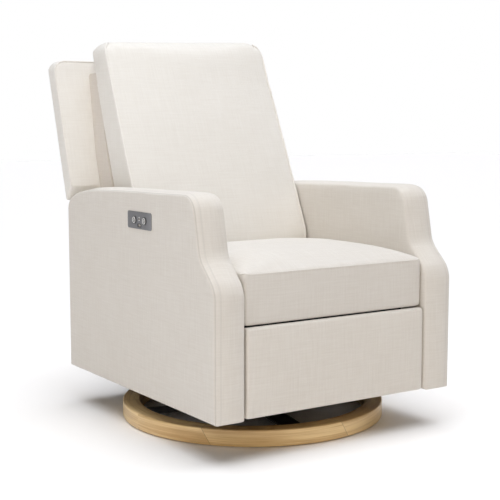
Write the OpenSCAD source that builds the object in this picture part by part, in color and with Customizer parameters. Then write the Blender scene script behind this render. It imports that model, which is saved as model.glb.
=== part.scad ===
// Power reclining, swivelling nursery glider chair.
// Millimetres. +Z is up, the seat faces -Y, and the origin is on the floor at the swivel axis.
// "left" and "right" are as seen by someone who faces the front of the chair: left is -X.

/* [Body] */
// Overall width across the arms
body_w = 750; // [730:5:780]
// Depth of the arms from front to back
body_d = 820; // [810:5:850]
// Distance from the arm fronts back to the swivel axis
swivel_setback = 404; // [400:1:412]
// Height of the body's underside above the floor
body_lift = 104; // [100:1:108]
// Thickness of each upholstered arm
arm_t = 88; // [84:1:96]
// Height of the arm tops
arm_h = 640; // [630:1:660]
// Inset of the wooden arm frame from the arm's outline
arm_pad = 14; // [10:1:18]
// Thickness of the wooden arm frame
arm_frame_t = 36; // [24:1:40]

/* [Arm outline] */
// Height where the front post starts to curve back
shoulder_z = 402; // [390:1:415]
// Radius of the shoulder at the top of the front post
shoulder_r = 61; // [50:1:70]
// How far the upper front of the arm is set back from the post
arm_setback = 74; // [66:1:84]
// Radius of the scoop above the shoulder
scoop_r = 61; // [50:1:70]
// Height of the centre of the scoop
scoop_z = 532; // [520:1:540]
// Backward lean of the upper front, in degrees
front_lean = 12; // [8:1:16]
// Radius of the arm's upper front corner
front_corner_r = 50; // [40:1:60]
// Length of the part of the arm top that falls away to the rear
arm_fall = 216; // [180:1:240]
// Radius of that fall
fall_r = 530; // [480:5:600]
// Radius of the arm's upper rear corner
rear_corner_r = 35; // [25:1:45]

/* [Base ring] */
// Outer radius of the wooden ring
ring_r = 368; // [360:1:374]
// Width of the ring seen from above
ring_w = 48; // [40:1:56]
// Height of the wooden ring
ring_t = 43; // [38:1:44]
// Height of the nylon glides below the ring
glide_t = 3; // [2:0.5:4]
// Radius of a nylon glide
glide_r = 12; // [8:1:16]
// Number of nylon glides
glide_n = 8; // [6:1:12]
// Width of the flat steel cross bars
cross_w = 56; // [44:1:64]
// Thickness of the cross bars
cross_t = 6; // [4:0.5:7]
// Turn of the cross about the swivel axis, in degrees
cross_turn = -12; // [-45:1:45]
// Wood left above the cross bars in the ring
cross_cover = 14; // [10:1:18]

/* [Swivel bearing] */
// Radius of the bearing plates
race_r = 110; // [95:1:120]
// Thickness of each bearing plate
race_t = 8; // [7:0.5:9]
// Radius of the circle that the balls run on
ball_circle_r = 90; // [70:1:95]
// Radius of a bearing ball
ball_r = 5; // [4:0.5:5]
// Number of bearing balls
ball_n = 16; // [8:1:24]
// Gap between the two bearing plates
race_gap = 2; // [1.5:0.1:2.5]
// Radius of the king pin
king_r = 12; // [8:1:14]

/* [Glide linkage] */
// Distance from the centre line to the inner face of each hanger
hanger_x = 163; // [150:1:168]
// Thickness of the hanger plates and swing links
link_t = 4; // [3:0.5:4]
// Distance between the front and rear swing pivots
swing_base = 230; // [200:5:240]
// Height of the upper swing pivots
swing_top_z = 225; // [220:1:235]
// Length of a swing link between its pivots
swing_l = 95; // [85:1:100]
// Width of a swing link
swing_w = 24; // [20:1:28]
// Radius of the swing pins
swing_pin_r = 6; // [5:0.5:7]
// Thickness of the glide rails
glide_rail_t = 6; // [4:0.5:8]
// Height of the glide rails
glide_rail_h = 54; // [44:1:56]

/* [Seat] */
// Height of the seam round the top of the seat cushion's front
seat_seam_z = 463; // [458:1:468]
// Rise of the seat cushion's crown above that seam
seat_crown = 22; // [12:1:30]
// Gap between the cushions and the arms on each side
side_gap = 3; // [2:0.5:4]
// Height of the underside of the cushion's front band
apron_z = 332; // [331:0.5:336]
// Thickness of the front band, front to back
apron_t = 36; // [30:1:40]
// Height of the underside of the seat frame
seat_frame_z = 356; // [355:0.5:360]
// Depth of the seat frame's rails
seat_frame_h = 34; // [28:1:36]
// Width of the seat frame's rails
seat_rail_w = 25; // [20:1:28]
// Number of seat springs
spring_n = 5; // [4:1:6]
// Diameter of the spring wire
spring_wire = 4; // [3:0.5:5]

/* [Back] */
// Recline pivot, distance behind the swivel axis
recline_y = 180; // [178:1:182]
// Recline pivot, height above the floor
recline_z = 430; // [428:1:432]
// Distance from the recline pivot to the face of the back cushion
back_reach = 77.6; // [74:0.2:80]
// Lean of the cushion's face from upright, in degrees
back_lean = 23.9; // [22:0.1:25]
// Thickness of the back cushion at its foot, measured front to back
cushion_t = 137; // [130:1:142]
// Lean of the back cushion's rear face, in degrees
cushion_rear_lean = 20.15; // [19:0.05:21]
// Height of the top of the back cushion
back_top_z = 1062; // [1040:1:1080]
// Height of the top of the middle foam box
core_top_z = 968; // [955:1:975]
// Height of the top of the outer back panel
wing_top_z = 1005; // [995:1:1020]
// Lean of the outer back panel, in degrees
wing_lean = 17; // [16.5:0.1:17.5]
// Thickness of the outer back panel, measured front to back
wing_t = 54; // [50:1:58]
// Distance from the swivel axis back to the panel's front face, at the height of the arm tops
wing_y = 391; // [388:1:394]
// Corner radius of the outer back panel
wing_corner_r = 38; // [30:1:50]
// Gap between the arms' rear corners and the sweep of the outer back panel
wing_sweep_gap = 10; // [6:0.5:14]
// Thickness of the wooden back frame
back_frame_t = 40; // [30:1:44]

/* [Footrest] */
// Height of the top of the footrest panel
foot_top_z = 325; // [320:0.5:326]
// Thickness of the footrest's padding
foot_pad_t = 27; // [22:1:30]
// Thickness of the footrest's board
foot_board_t = 15; // [12:1:16]
// Gap between the footrest and the arms on each side
foot_gap = 5; // [3:0.5:8]
// Distance from the arm fronts back to the drive tube
tube_setback = 115; // [113:1:118]
// Height of the drive tube
tube_z = 302; // [300:0.5:304]
// Half of the distance between the end pivots of a scissor bar
bar_half = 92; // [90:0.5:94]
// Angle of a folded scissor bar from the horizontal, in degrees
fold_angle = 82; // [81:0.25:83]
// Width of a scissor bar
bar_w = 20; // [16:1:20]
// Thickness of the steel mechanism's bars and plates
bar_t = 3; // [2.5:0.25:3]
// Length of the footrest's control link
control_l = 106.4; // [105.8:0.1:107]
// Angle of the folded control link from the horizontal, in degrees
control_angle = 86.9; // [86:0.1:88]
// Radius of the drive tube
tube_r = 12.5; // [10:0.5:14]
// Wall of the steel tubes
tube_wall = 2.5; // [1.5:0.25:3]

/* [Actuator] */
// Length of the crank that the actuator pulls
crank_l = 80; // [76:1:82]
// Width of the actuator's rail
track_w = 36; // [32:1:40]
// Height of the actuator's rail
track_h = 25; // [22:1:26]
// Wall of the actuator's rail
track_wall = 2.5; // [2:0.25:3]
// Height of the underside of the actuator's rail
track_z = 180; // [178:1:182]
// Radius of the motor
motor_r = 26; // [20:1:28]
// Length of the motor
motor_l = 90; // [70:1:100]

/* [Controls] */
// Length of the control plate along the arm
panel_l = 130; // [110:1:150]
// Height of the control plate
panel_h = 45; // [40:1:52]
// Height of the centre of the control plate
panel_z = 568; // [560:1:574]
// Distance from the swivel axis forward to the centre of the control plate
panel_forward = 37; // [0:1:80]
// Radius of a push button
button_r = 10.3; // [8:0.1:11]
// Distance between the centres of the two buttons
button_pitch = 55; // [48:1:60]
// How far a button can be pressed
button_travel = 1.5; // [1:0.1:2.5]

/* [Hidden] */
$fn = 64;

run_gap = 0.05;         // radial clearance of a pin that turns in its hole
side_play = 0.3;        // gap between parts that move past each other
soft_gap = 0.3;         // gap round a piece that is set into foam
pin_head_t = 1.4;       // thickness of a rivet's head

// ---- body ----
front_y = -swivel_setback;
rear_y = front_y + body_d;
inner_x = body_w / 2 - arm_t;
cushion_x = inner_x - side_gap;
arm_frame_x = inner_x + (arm_t - arm_frame_t) / 2;
scoop_y = front_y + arm_setback - scoop_r * cos(front_lean);
corner_z = arm_h - front_corner_r;
lean_from_z = scoop_z - scoop_r * sin(front_lean);
lean_to_z = corner_z + front_corner_r * sin(front_lean);
corner_y = front_y + arm_setback + (lean_to_z - lean_from_z) * tan(front_lean)
    + front_corner_r * cos(front_lean);
fall_y = rear_y - arm_fall;
fall_z = arm_h - fall_r;
rear_corner_y = rear_y - rear_corner_r;
rear_corner_z = fall_z + sqrt(pow(fall_r - rear_corner_r, 2) - pow(rear_corner_y - fall_y, 2));
fall_end = atan2(rear_corner_z - fall_z, rear_corner_y - fall_y);

// ---- base and swivel ----
ring_top = glide_t + ring_t;
cross_z1 = ring_top - cross_cover;
cross_z0 = cross_z1 - cross_t;
ring_mid_r = ring_r - ring_w / 2;
cross_r = ring_r - 23;
lower_race_z = cross_z1;
ball_z = lower_race_z + race_t + race_gap / 2;
upper_race_z = lower_race_z + race_t + race_gap;
frame_z = upper_race_z + race_t;
beam_h = 25;
beam_w = 30;
beam_y = race_r - beam_w;
screw_r = 2.5;

// ---- glide ----
hanger_hw = swing_base / 2 + 15;
hanger_top_z = swing_top_z + 15;
link_x = hanger_x + link_t + 3;
glide_rail_x = link_x + link_t + 5;
swing_low_z = swing_top_z - swing_l;
rail_h = 66;                              // height of the wooden front and rear rails
rail_z = body_lift + 2;
front_rail_y = front_y + 139;
front_rail_t = 25;
rear_rail_t = 25;
rear_panel_t = 18;
rear_panel_y = rear_y - 1 - rear_panel_t;
rear_rail_y = rear_panel_y - rear_rail_t;
rear_panel_top = 335;

// ---- layers of the mechanism, inner faces on the +X side ----
plate_x = inner_x - 21;
outer_layer = plate_x - bar_t - 3;        // drive bars, outer bars and back brackets
inner_layer = outer_layer - bar_t - 2;    // guide bars and lift bars
bracket_layer = inner_layer - bar_t - 3;  // footrest brackets
control_layer = bracket_layer - bar_t - 2;
rod_layer = control_layer - 13;
crank_layer = rod_layer - 5;
rod_t = 4;

// ---- points in the side view, as [y, z] ----
function step(angle) = [-cos(angle), sin(angle)];
function about(p, angle) = [p[0] * cos(angle) - p[1] * sin(angle), p[0] * sin(angle) + p[1] * cos(angle)];
function arc(c, r, from, to, n = 12) =
    [for (i = [0 : n]) let (a = from + (to - from) * i / n) c + r * [cos(a), sin(a)]];

drive_open = 15;                          // angle of a drive bar below the horizontal when opened
lift_open = 45;                           // angle of a lift bar above the horizontal when opened
tube_p = [front_y + tube_setback, tube_z];
down_1 = step(-fold_angle);
up_2 = step(fold_angle);
drive_mid = tube_p + bar_half * down_1;
drive_end = tube_p + 2 * bar_half * down_1;
guide_foot = drive_mid - bar_half * up_2;
guide_head = drive_mid + bar_half * up_2;
lift_mid = drive_end + bar_half * up_2;
foot_hinge = drive_end + 2 * bar_half * up_2;
outer_foot = guide_head + 2 * bar_half * down_1;
function guide_at(t) = tube_p + bar_half * step(-fold_angle + (fold_angle - drive_open) * t)
    - bar_half * step(fold_angle - (fold_angle - lift_open) * t);
control_lug = foot_hinge + [-2.3, -73.5];
control_eye = outer_foot + control_l * step(control_angle);
recline_p = [recline_y, recline_z];

pin_r = 5;
slim_pin_r = 4;
slot_play = 0.3;
journal_r = 6;

// recline rod: both cranks swing evenly about the line square to the rod
back_angle = 35;
tube_angle = fold_angle - drive_open;
tube_crank_l = 40;
lug_l = tube_crank_l * sin(tube_angle / 2) / sin(back_angle / 2);
rod_tilt = 11;
rod_front = tube_p + about(tube_crank_l * [sin(rod_tilt), -cos(rod_tilt)], tube_angle / 2);
rod_rear = recline_p + about(lug_l * [sin(rod_tilt), -cos(rod_tilt)], back_angle / 2);
rod_slot = 3.8;
rod_slot_play = 0.5;

// actuator
crank_top = about([0, -crank_l], tube_angle / 2);
crank_pin = tube_p + crank_top;
crank_low_z = tube_z - crank_l;
slider_l = 34;
track_front_y = front_y + 50;
track_rear_y = 112;
motor_y = 150;
cross_tube_p = [205, track_z + track_h / 2];
gearbox_l = 80;
gearbox_h = 60;

// ---- seat ----
seat_front_y = front_y + 12;
apron_y1 = seat_front_y + apron_t;
seat_top = seat_seam_z;
seat_frame_top = seat_frame_z + seat_frame_h;
seat_rail_x = inner_x - 41;
seat_frame_y0 = apron_y1 + 2;
seat_frame_y1 = recline_y - 95;

// ---- back ----
face_foot = recline_p + back_reach * [-cos(back_lean), sin(back_lean)];
function face_y(z) = face_foot[0] + (z - face_foot[1]) * tan(back_lean);
function cushion_rear_y(z) = face_foot[0] + cushion_t + (z - face_foot[1]) * tan(cushion_rear_lean);
wing_level_z = recline_z + 210;           // height at which wing_y is measured
function wing_front_y(z) = wing_y + (z - wing_level_z) * tan(wing_lean);
function wing_rear_y(z) = wing_front_y(z) + wing_t;
cushion_foot_z = recline_z + 32;          // the wide part of the cushion starts above the brackets
post_z0 = recline_z + 42;
post_z1 = core_top_z - 20;
bracket_top_z = post_z0 + 95;
core_wide_z = bracket_top_z + 33;         // the core fills the full width above the brackets
back_full_z = wing_level_z + 100;         // the cushion and the core narrow from here up
post_x0 = outer_layer - 22;
core_x = post_x0 - 1;
web_t = 2.2;
back_low_z = rear_panel_top - 13;
back_low_front_y = rear_rail_y - 28;
arm_corner_reach = max([for (p = arc([rear_corner_y, rear_corner_z], rear_corner_r, fall_end, 0))
    norm(p - recline_p)]);
wing_sweep_r = arm_corner_reach + wing_sweep_gap;
wing_wide_z = arm_h - 90;

// ---- footrest ----
foot_x = inner_x - foot_gap;
board_y0 = front_y - 1 + foot_pad_t;
board_y1 = board_y0 + foot_board_t;

// ---- helpers ----
module along_x(x0, x1) translate([x0, 0, 0]) rotate([90, 0, 90]) linear_extrude(x1 - x0) children();
module along_y(y0, y1) translate([0, y1, 0]) rotate([90, 0, 0]) linear_extrude(y1 - y0) children();
module block(x0, x1, y0, y1, z0, z1) translate([x0, y0, z0]) cube([x1 - x0, y1 - y0, z1 - z0]);
module rod_x(x0, x1, p, r) translate([x0, p[0], p[1]]) rotate([0, 90, 0]) cylinder(h = x1 - x0, r = r);
module on_side(s) mirror([s < 0 ? 1 : 0, 0, 0]) children();
module both_sides() for (s = [-1, 1]) on_side(s) children();

// flat bar with round ends between two points of the side view
module bar_plate(x0, t, p, q, w) {
    along = (q - p) / norm(q - p);
    across = [-along[1], along[0]] * w / 2;
    along_x(x0, x0 + t) polygon([p + across, q + across, q - across, p - across]);
    rod_x(x0, x0 + t, p, w / 2);
    rod_x(x0, x0 + t, q, w / 2);
}

// rivet that is fixed on one bar and turns in the next one towards the centre line
module inward_rivet(from_x, to_x, p, r) {
    gap_x = to_x + bar_t + side_play;
    rod_x(to_x - side_play - pin_head_t, from_x, p, r);
    rod_x(gap_x, from_x, p, r + 3);
    rod_x(to_x - side_play - pin_head_t, to_x - side_play, p, r + 3);
}

function arm_outline(i, z0) = concat(
    [[front_y + i, z0]],
    arc([front_y + shoulder_r, shoulder_z], shoulder_r - i, 180, 135, 8),
    arc([scoop_y, scoop_z], scoop_r + i, -45, -front_lean, 8),
    arc([corner_y, corner_z], front_corner_r - i, 180 - front_lean, 90, 10),
    arc([fall_y, fall_z], fall_r - i, 90, fall_end, 8),
    arc([rear_corner_y, rear_corner_z], rear_corner_r - i, fall_end, 0, 10),
    [[rear_y - i, z0]]
);

// ---- base ----
module cross_bars(z0, z1, r, w) for (a = [0, 90])
    rotate(cross_turn + a) block(-r, r, -w / 2, w / 2, z0, z1);

module at_screws() for (a = [0 : 90 : 270], s = [-1, 1]) rotate(cross_turn + a)
    translate([ring_mid_r - 5, s * cross_w / 4, 0]) children();

module base_ring() color("burlywood") difference() {
    translate([0, 0, glide_t]) cylinder(h = ring_t, r = ring_r, $fn = 128);
    translate([0, 0, glide_t - 1]) cylinder(h = ring_t + 2, r = ring_r - ring_w, $fn = 128);
    cross_bars(glide_t - 1, cross_z1, cross_r + 1, cross_w + 2);
    at_screws() translate([0, 0, cross_z1 - 1]) cylinder(h = 10, r = screw_r + 0.02, $fn = 24);
}

module base_glides() color("dimgray") for (i = [0 : glide_n - 1])
    rotate(cross_turn + (i + 0.5) * 360 / glide_n) translate([ring_mid_r, 0, 0])
        cylinder(h = glide_t, r = glide_r);

module base_cross() color([0.08, 0.08, 0.09]) difference() {
    cross_bars(cross_z0, cross_z1, cross_r, cross_w);
    translate([0, 0, cross_z0 - 1]) cylinder(h = cross_t + 2, r = king_r + 0.02);
    at_screws() translate([0, 0, cross_z0 - 1]) cylinder(h = cross_t + 2, r = screw_r + 0.02, $fn = 24);
}

module base_screws() color("silver") at_screws() {
    translate([0, 0, cross_z0 - 3]) cylinder(h = 3, r = screw_r * 2.2, $fn = 24);
    translate([0, 0, cross_z0 - 1]) cylinder(h = cross_t + 9, r = screw_r, $fn = 24);
}

module ball_groove() translate([0, 0, ball_z]) rotate_extrude($fn = 96)
    translate([ball_circle_r, 0]) circle(r = ball_r + run_gap, $fn = 32);

module swivel_lower_race() color("dimgray") difference() {
    translate([0, 0, lower_race_z]) cylinder(h = race_t, r = race_r, $fn = 96);
    ball_groove();
    translate([0, 0, lower_race_z - 1]) cylinder(h = race_t + 2, r = king_r + 0.02);
}

module swivel_upper_race() color("dimgray") difference() {
    translate([0, 0, upper_race_z]) cylinder(h = race_t, r = race_r, $fn = 96);
    ball_groove();
    translate([0, 0, upper_race_z - 1]) cylinder(h = race_t + 2, r = king_r + run_gap);
}

module swivel_balls() color("silver") for (i = [0 : ball_n - 1])
    rotate(i * 360 / ball_n) translate([ball_circle_r, 0, ball_z]) sphere(r = ball_r, $fn = 32);

module swivel_king_pin() color("silver") {
    translate([0, 0, cross_z0 - 5]) cylinder(h = 5, r = king_r + 8);
    translate([0, 0, cross_z0 - 1]) cylinder(h = frame_z - cross_z0 + 3, r = king_r);
    translate([0, 0, frame_z + side_play]) cylinder(h = 6, r = king_r + 8);
}

module swivel_frame() color([0.1, 0.1, 0.11]) for (s = [-1, 1]) difference() {
    block(-hanger_x, hanger_x, s * beam_y - beam_w / 2, s * beam_y + beam_w / 2, frame_z, frame_z + beam_h);
    block(-hanger_x - 1, hanger_x + 1, s * beam_y - beam_w / 2 + tube_wall,
        s * beam_y + beam_w / 2 - tube_wall, frame_z + tube_wall, frame_z + beam_h - tube_wall);
}

module glide_hanger(s) color([0.12, 0.12, 0.13]) on_side(s) difference() {
    along_x(hanger_x, hanger_x + link_t) polygon([
        [-beam_y - beam_w / 2, frame_z], [beam_y + beam_w / 2, frame_z], [hanger_hw, hanger_top_z - 40],
        [hanger_hw, hanger_top_z], [-hanger_hw, hanger_top_z], [-hanger_hw, hanger_top_z - 40]
    ]);
    for (e = [-1, 1]) rod_x(hanger_x - 1, hanger_x + link_t + 1, [e * swing_base / 2, swing_top_z],
        swing_pin_r + 0.02);
}
module glide_hanger_left() glide_hanger(-1);
module glide_hanger_right() glide_hanger(1);

module glide_upper_pins() color("silver") both_sides() for (e = [-1, 1]) {
    p = [e * swing_base / 2, swing_top_z];
    rod_x(hanger_x - 3, hanger_x, p, swing_pin_r + 3);
    rod_x(hanger_x - 1, link_x + link_t + 2, p, swing_pin_r);
    rod_x(hanger_x + link_t, link_x - side_play, p, swing_pin_r + 3);
    rod_x(link_x + link_t + side_play, link_x + link_t + 2, p, swing_pin_r + 3);
}

module swing_links(e) color("gray") both_sides() difference() {
    bar_plate(link_x, link_t, [e * swing_base / 2, swing_low_z], [e * swing_base / 2, swing_top_z],
        swing_w);
    for (z = [swing_low_z, swing_top_z])
        rod_x(link_x - 1, link_x + link_t + 1, [e * swing_base / 2, z], swing_pin_r + run_gap);
}
module glide_front_links() swing_links(-1);
module glide_rear_links() swing_links(1);

module glide_rail(s) color([0.12, 0.12, 0.13]) on_side(s) {
    x1 = glide_rail_x + glide_rail_t;
    difference() {
        block(glide_rail_x, x1, front_rail_y + front_rail_t, rear_rail_y, rail_z, rail_z + glide_rail_h);
        for (e = [-1, 1]) rod_x(glide_rail_x - 1, x1 + 1, [e * swing_base / 2, swing_low_z],
            swing_pin_r + 0.02);
    }
    block(x1 - 1, x1 + 30, front_rail_y + front_rail_t, front_rail_y + front_rail_t + 4,
        rail_z, rail_z + glide_rail_h);
    block(x1 - 1, x1 + 30, rear_rail_y - 4, rear_rail_y, rail_z, rail_z + glide_rail_h);
}
module glide_rail_left() glide_rail(-1);
module glide_rail_right() glide_rail(1);

module glide_lower_pins() color("silver") both_sides() for (e = [-1, 1]) {
    p = [e * swing_base / 2, swing_low_z];
    x1 = glide_rail_x + glide_rail_t;
    rod_x(x1, x1 + 3, p, swing_pin_r + 3);
    rod_x(link_x - 2, x1 + 1, p, swing_pin_r);
    rod_x(link_x + link_t + side_play, glide_rail_x, p, swing_pin_r + 3);
    rod_x(link_x - 2, link_x - side_play, p, swing_pin_r + 3);
}

// ---- frame ----
module rail_shape(y0, t, gap = 0)
    block(-arm_frame_x - gap, arm_frame_x + gap, y0 - gap, y0 + t + gap, rail_z - gap,
        rail_z + rail_h + gap);
module front_rail() color("tan") rail_shape(front_rail_y, front_rail_t);
module rear_rail() color("tan") rail_shape(rear_rail_y, rear_rail_t);

bolt_z = tube_z - 2;
bolt_points = [[-190, bolt_z], [-40, bolt_z], [110, bolt_z + 20]];
post_rail_z0 = bolt_z - 20;
post_rail_z1 = bolt_z + 40;
bolt_r = 5;
spacer_r = 11;

module arm_frame_solid() difference() {
    along_x(arm_frame_x, arm_frame_x + arm_frame_t) polygon(arm_outline(arm_pad, body_lift));
    for (y = [[front_y + 104, -30], [30, rear_y - 76]])
        block(arm_frame_x - 1, arm_frame_x + arm_frame_t + 1, y[0], y[1], body_lift + 86, arm_h - 80);
    for (p = bolt_points) rod_x(arm_frame_x - 1, arm_frame_x + 25, p, bolt_r + 0.02);
}

// the posts that the mechanism bolts reach, across the frame's openings
module arm_frame_rail() difference() {
    block(arm_frame_x, arm_frame_x + arm_frame_t, front_y + 90, rear_y - 60, post_rail_z0, post_rail_z1);
    for (p = bolt_points) rod_x(arm_frame_x - 1, arm_frame_x + 25, p, bolt_r + 0.02);
}

module arm_frame(s) color("tan") on_side(s) union() {
    arm_frame_solid();
    arm_frame_rail();
}
module arm_frame_left() arm_frame(-1);
module arm_frame_right() arm_frame(1);

panel_t = 3;
panel_box_t = 22;
panel_y = -panel_forward;
module panel_pocket(gap) {
    block(body_w / 2 - panel_t + 1 - gap, body_w / 2 + 5, panel_y - panel_l / 2 - gap,
        panel_y + panel_l / 2 + gap, panel_z - panel_h / 2 - gap, panel_z + panel_h / 2 + gap);
    block(body_w / 2 - panel_t - panel_box_t - gap, body_w / 2, panel_y - panel_l / 2 + 8 - gap,
        panel_y + panel_l / 2 - 8 + gap, panel_z - panel_h / 2 + 5 - gap, panel_z + panel_h / 2 - 5 + gap);
}

module arm_shape() difference() {
    along_x(inner_x, body_w / 2) polygon(arm_outline(0, body_lift));
    difference() {
        along_x(arm_frame_x, arm_frame_x + arm_frame_t) polygon(arm_outline(arm_pad, body_lift - 1));
        for (y = [[front_y + 104, -30], [30, rear_y - 76]]) difference() {
            block(arm_frame_x - 1, arm_frame_x + arm_frame_t + 1, y[0], y[1], body_lift + 86, arm_h - 80);
            block(arm_frame_x - 2, arm_frame_x + arm_frame_t + 2, y[0] - 1, y[1] + 1, post_rail_z0,
                post_rail_z1);
        }
    }
    rail_shape(front_rail_y, front_rail_t, soft_gap);
    rail_shape(rear_rail_y, rear_rail_t, soft_gap);
    for (p = bolt_points) rod_x(inner_x - 1, arm_frame_x + 1, p, spacer_r + soft_gap);
}
module arm_left() color([0.9, 0.88, 0.83]) on_side(-1) difference() {
    arm_shape();
    panel_pocket(soft_gap);
}
module arm_right() color([0.9, 0.88, 0.83]) arm_shape();

module rear_panel() color([0.88, 0.86, 0.8]) difference() {
    block(-cushion_x, cushion_x, rear_panel_y, rear_panel_y + rear_panel_t, body_lift, rear_panel_top);
    inlet_bore(inlet_r + 0.02);
}

cover_x = glide_rail_x + glide_rail_t + 10;
cover_y = hanger_hw + 45;
module dust_cover() color([0.05, 0.05, 0.05]) difference() {
    block(-inner_x, inner_x, front_rail_y, rear_rail_y + rear_rail_t - 1, body_lift, rail_z);
    block(-cover_x, cover_x, -cover_y, cover_y, body_lift - 1, rail_z + 1);
}

// ---- side plates of the mechanism ----
guide_n = 12;
module guide_slot(x0, x1) {
    pts = [for (i = [0 : guide_n]) guide_at(i / guide_n)];
    w = pin_r + slot_play;
    sides = [for (i = [0 : guide_n]) let (
        a = pts[max(i - 1, 0)], b = pts[min(i + 1, guide_n)], d = (b - a) / norm(b - a)
    ) [-d[1], d[0]] * w];
    along_x(x0, x1) polygon(concat(
        [for (i = [0 : guide_n]) pts[i] + sides[i]], [for (i = [guide_n : -1 : 0]) pts[i] - sides[i]]
    ));
    rod_x(x0, x1, pts[0], w);
    rod_x(x0, x1, pts[guide_n], w);
}

plate_top = seat_frame_z;
tongue_z = tube_z - 52;                   // the tongue with the curved slot starts below this
module mechanism_plate(s) color([0.13, 0.13, 0.14]) on_side(s) {
    foot_z = guide_foot[1] - 14;
    difference() {
        union() {
            along_x(plate_x, plate_x + bar_t) polygon([
                [tube_p[0] - 36, foot_z], [tube_p[0] + 20, foot_z], [tube_p[0] + 26, tongue_z],
                [cross_tube_p[0] - 45, tongue_z],
                [cross_tube_p[0] - 22, cross_tube_p[1] - 24], [cross_tube_p[0] + 22, cross_tube_p[1] - 24],
                [cross_tube_p[0] + 22, 300], [recline_y + 22, recline_z], [recline_y - 22, recline_z],
                [recline_y - 50, plate_top], [tube_p[0] - 36, plate_top]
            ]);
            rod_x(plate_x, plate_x + bar_t, recline_p, 22);
            block(plate_x - 20, plate_x + bar_t, seat_frame_y0, seat_frame_y1, plate_top - bar_t,
                plate_top);
        }
        guide_slot(plate_x - 1, plate_x + bar_t + 1);
        rod_x(plate_x - 1, plate_x + bar_t + 1, tube_p, journal_r + run_gap);
        rod_x(plate_x - 1, plate_x + bar_t + 1, recline_p, journal_r + run_gap);
        rod_x(plate_x - 1, plate_x + bar_t + 1, cross_tube_p, tube_r + 0.02);
        for (p = bolt_points) rod_x(plate_x - 1, plate_x + bar_t + 1, p, bolt_r + 0.02);
    }
}
module mechanism_plate_left() mechanism_plate(-1);
module mechanism_plate_right() mechanism_plate(1);

module mechanism_bolts() color("silver") both_sides() for (p = bolt_points) {
    rod_x(plate_x - 2.5, plate_x, p, bolt_r + 3);
    rod_x(plate_x - 1, arm_frame_x + 20, p, bolt_r);
    rod_x(plate_x + bar_t, arm_frame_x, p, spacer_r);
}

module rear_cross_tube() color([0.13, 0.13, 0.14]) difference() {
    rod_x(-plate_x - bar_t - 4, plate_x + bar_t + 4, cross_tube_p, tube_r);
    rod_x(-inner_x, inner_x, cross_tube_p, tube_r - tube_wall);
}

// ---- seat ----
module seat_frame() color("tan") difference() {
    block(-seat_rail_x - seat_rail_w, seat_rail_x + seat_rail_w, seat_frame_y0, seat_frame_y1,
        seat_frame_z, seat_frame_top);
    block(-seat_rail_x, seat_rail_x, seat_frame_y0 + seat_rail_w, seat_frame_y1 - seat_rail_w,
        seat_frame_z - 1, seat_frame_top + 1);
}

spring_waves = 9;
spring_points = 6;
spring_reach = 22;
module seat_spring(x) {
    y0 = seat_frame_y0 + seat_rail_w;
    y1 = seat_frame_y1 - seat_rail_w;
    n = spring_waves * spring_points;
    dx = function (i) spring_reach * sin(360 * i / spring_points);
    pts = [for (i = [0 : n]) [x + dx(i), y0 + (y1 - y0) * i / n]];
    side = [for (i = [0 : n]) let (
        a = pts[max(i - 1, 0)], b = pts[min(i + 1, n)],
        d = i == 0 || i == n ? [0, 1] : (b - a) / norm(b - a)
    ) [-d[1], d[0]] * spring_wire / 2];
    translate([0, 0, seat_frame_top - spring_wire]) linear_extrude(spring_wire)
        polygon(concat([for (i = [0 : n]) pts[i] + side[i]], [for (i = [n : -1 : 0]) pts[i] - side[i]]));
}
module seat_springs() color("silver") for (i = [0 : spring_n - 1])
    seat_spring((i - (spring_n - 1) / 2) * 2 * (seat_rail_x - 34) / (spring_n - 1));

crown_n = 10;
apron_r = 12;
module seat_cushion() color([0.93, 0.91, 0.87]) intersection() {
    along_x(-cushion_x, cushion_x) polygon(concat(
        arc([seat_front_y + apron_r, apron_z + apron_r], apron_r, 180, 270, 6),
        [[apron_y1, apron_z], [apron_y1, seat_frame_top],
            [face_y(seat_frame_top) - soft_gap * 2, seat_frame_top]],
        [for (i = [0 : crown_n]) let (
            u = i / crown_n, y = face_y(seat_top) - soft_gap * 2 + (seat_front_y + 8 - face_y(seat_top)) * u
        ) [y, seat_top + 0.4 + seat_crown * (1 - pow(2 * u - 1, 2))]],
        [[seat_front_y, seat_top - 8]]
    ));
    along_y(seat_front_y - 1, face_y(seat_top) + 1) polygon(concat(
        [[-cushion_x, apron_z - 1], [cushion_x, apron_z - 1]],
        [for (i = [0 : crown_n]) let (u = 1 - 2 * i / crown_n)
            [u * cushion_x, seat_top + seat_crown * (1 - pow(u, 2)) + 2]]
    ));
}

// ---- actuator ----
module actuator_track() color([0.2, 0.2, 0.21]) {
    x = track_w / 2;
    difference() {
        block(-x, x, track_front_y, track_rear_y, track_z, track_z + track_h);
        block(-x + track_wall, x - track_wall, track_front_y + track_wall, track_rear_y + 1,
            track_z + track_wall, track_z + track_h - track_wall);
        block(-7, 7, track_front_y + track_wall, track_rear_y + 1, track_z + 1, track_z + track_h + 1);
    }
    block(-x, x, front_rail_y, front_rail_y + front_rail_t, rail_z + rail_h, track_z + 1);
}

module actuator_motor() color([0.09, 0.09, 0.1]) {
    mid_z = cross_tube_p[1];
    difference() {
        union() {
            block(-30, 30, track_rear_y, track_rear_y + gearbox_l, mid_z - gearbox_h / 2,
                mid_z + gearbox_h / 2);
            block(-20, 20, track_rear_y + 1, cross_tube_p[0], mid_z - 18, mid_z + 18);
            rod_x(-20, 20, cross_tube_p, 18);
        }
        rod_x(-31, 31, cross_tube_p, tube_r + 0.02);
    }
    rod_x(29, 30 + motor_l, [motor_y, mid_z], motor_r);
}

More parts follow.
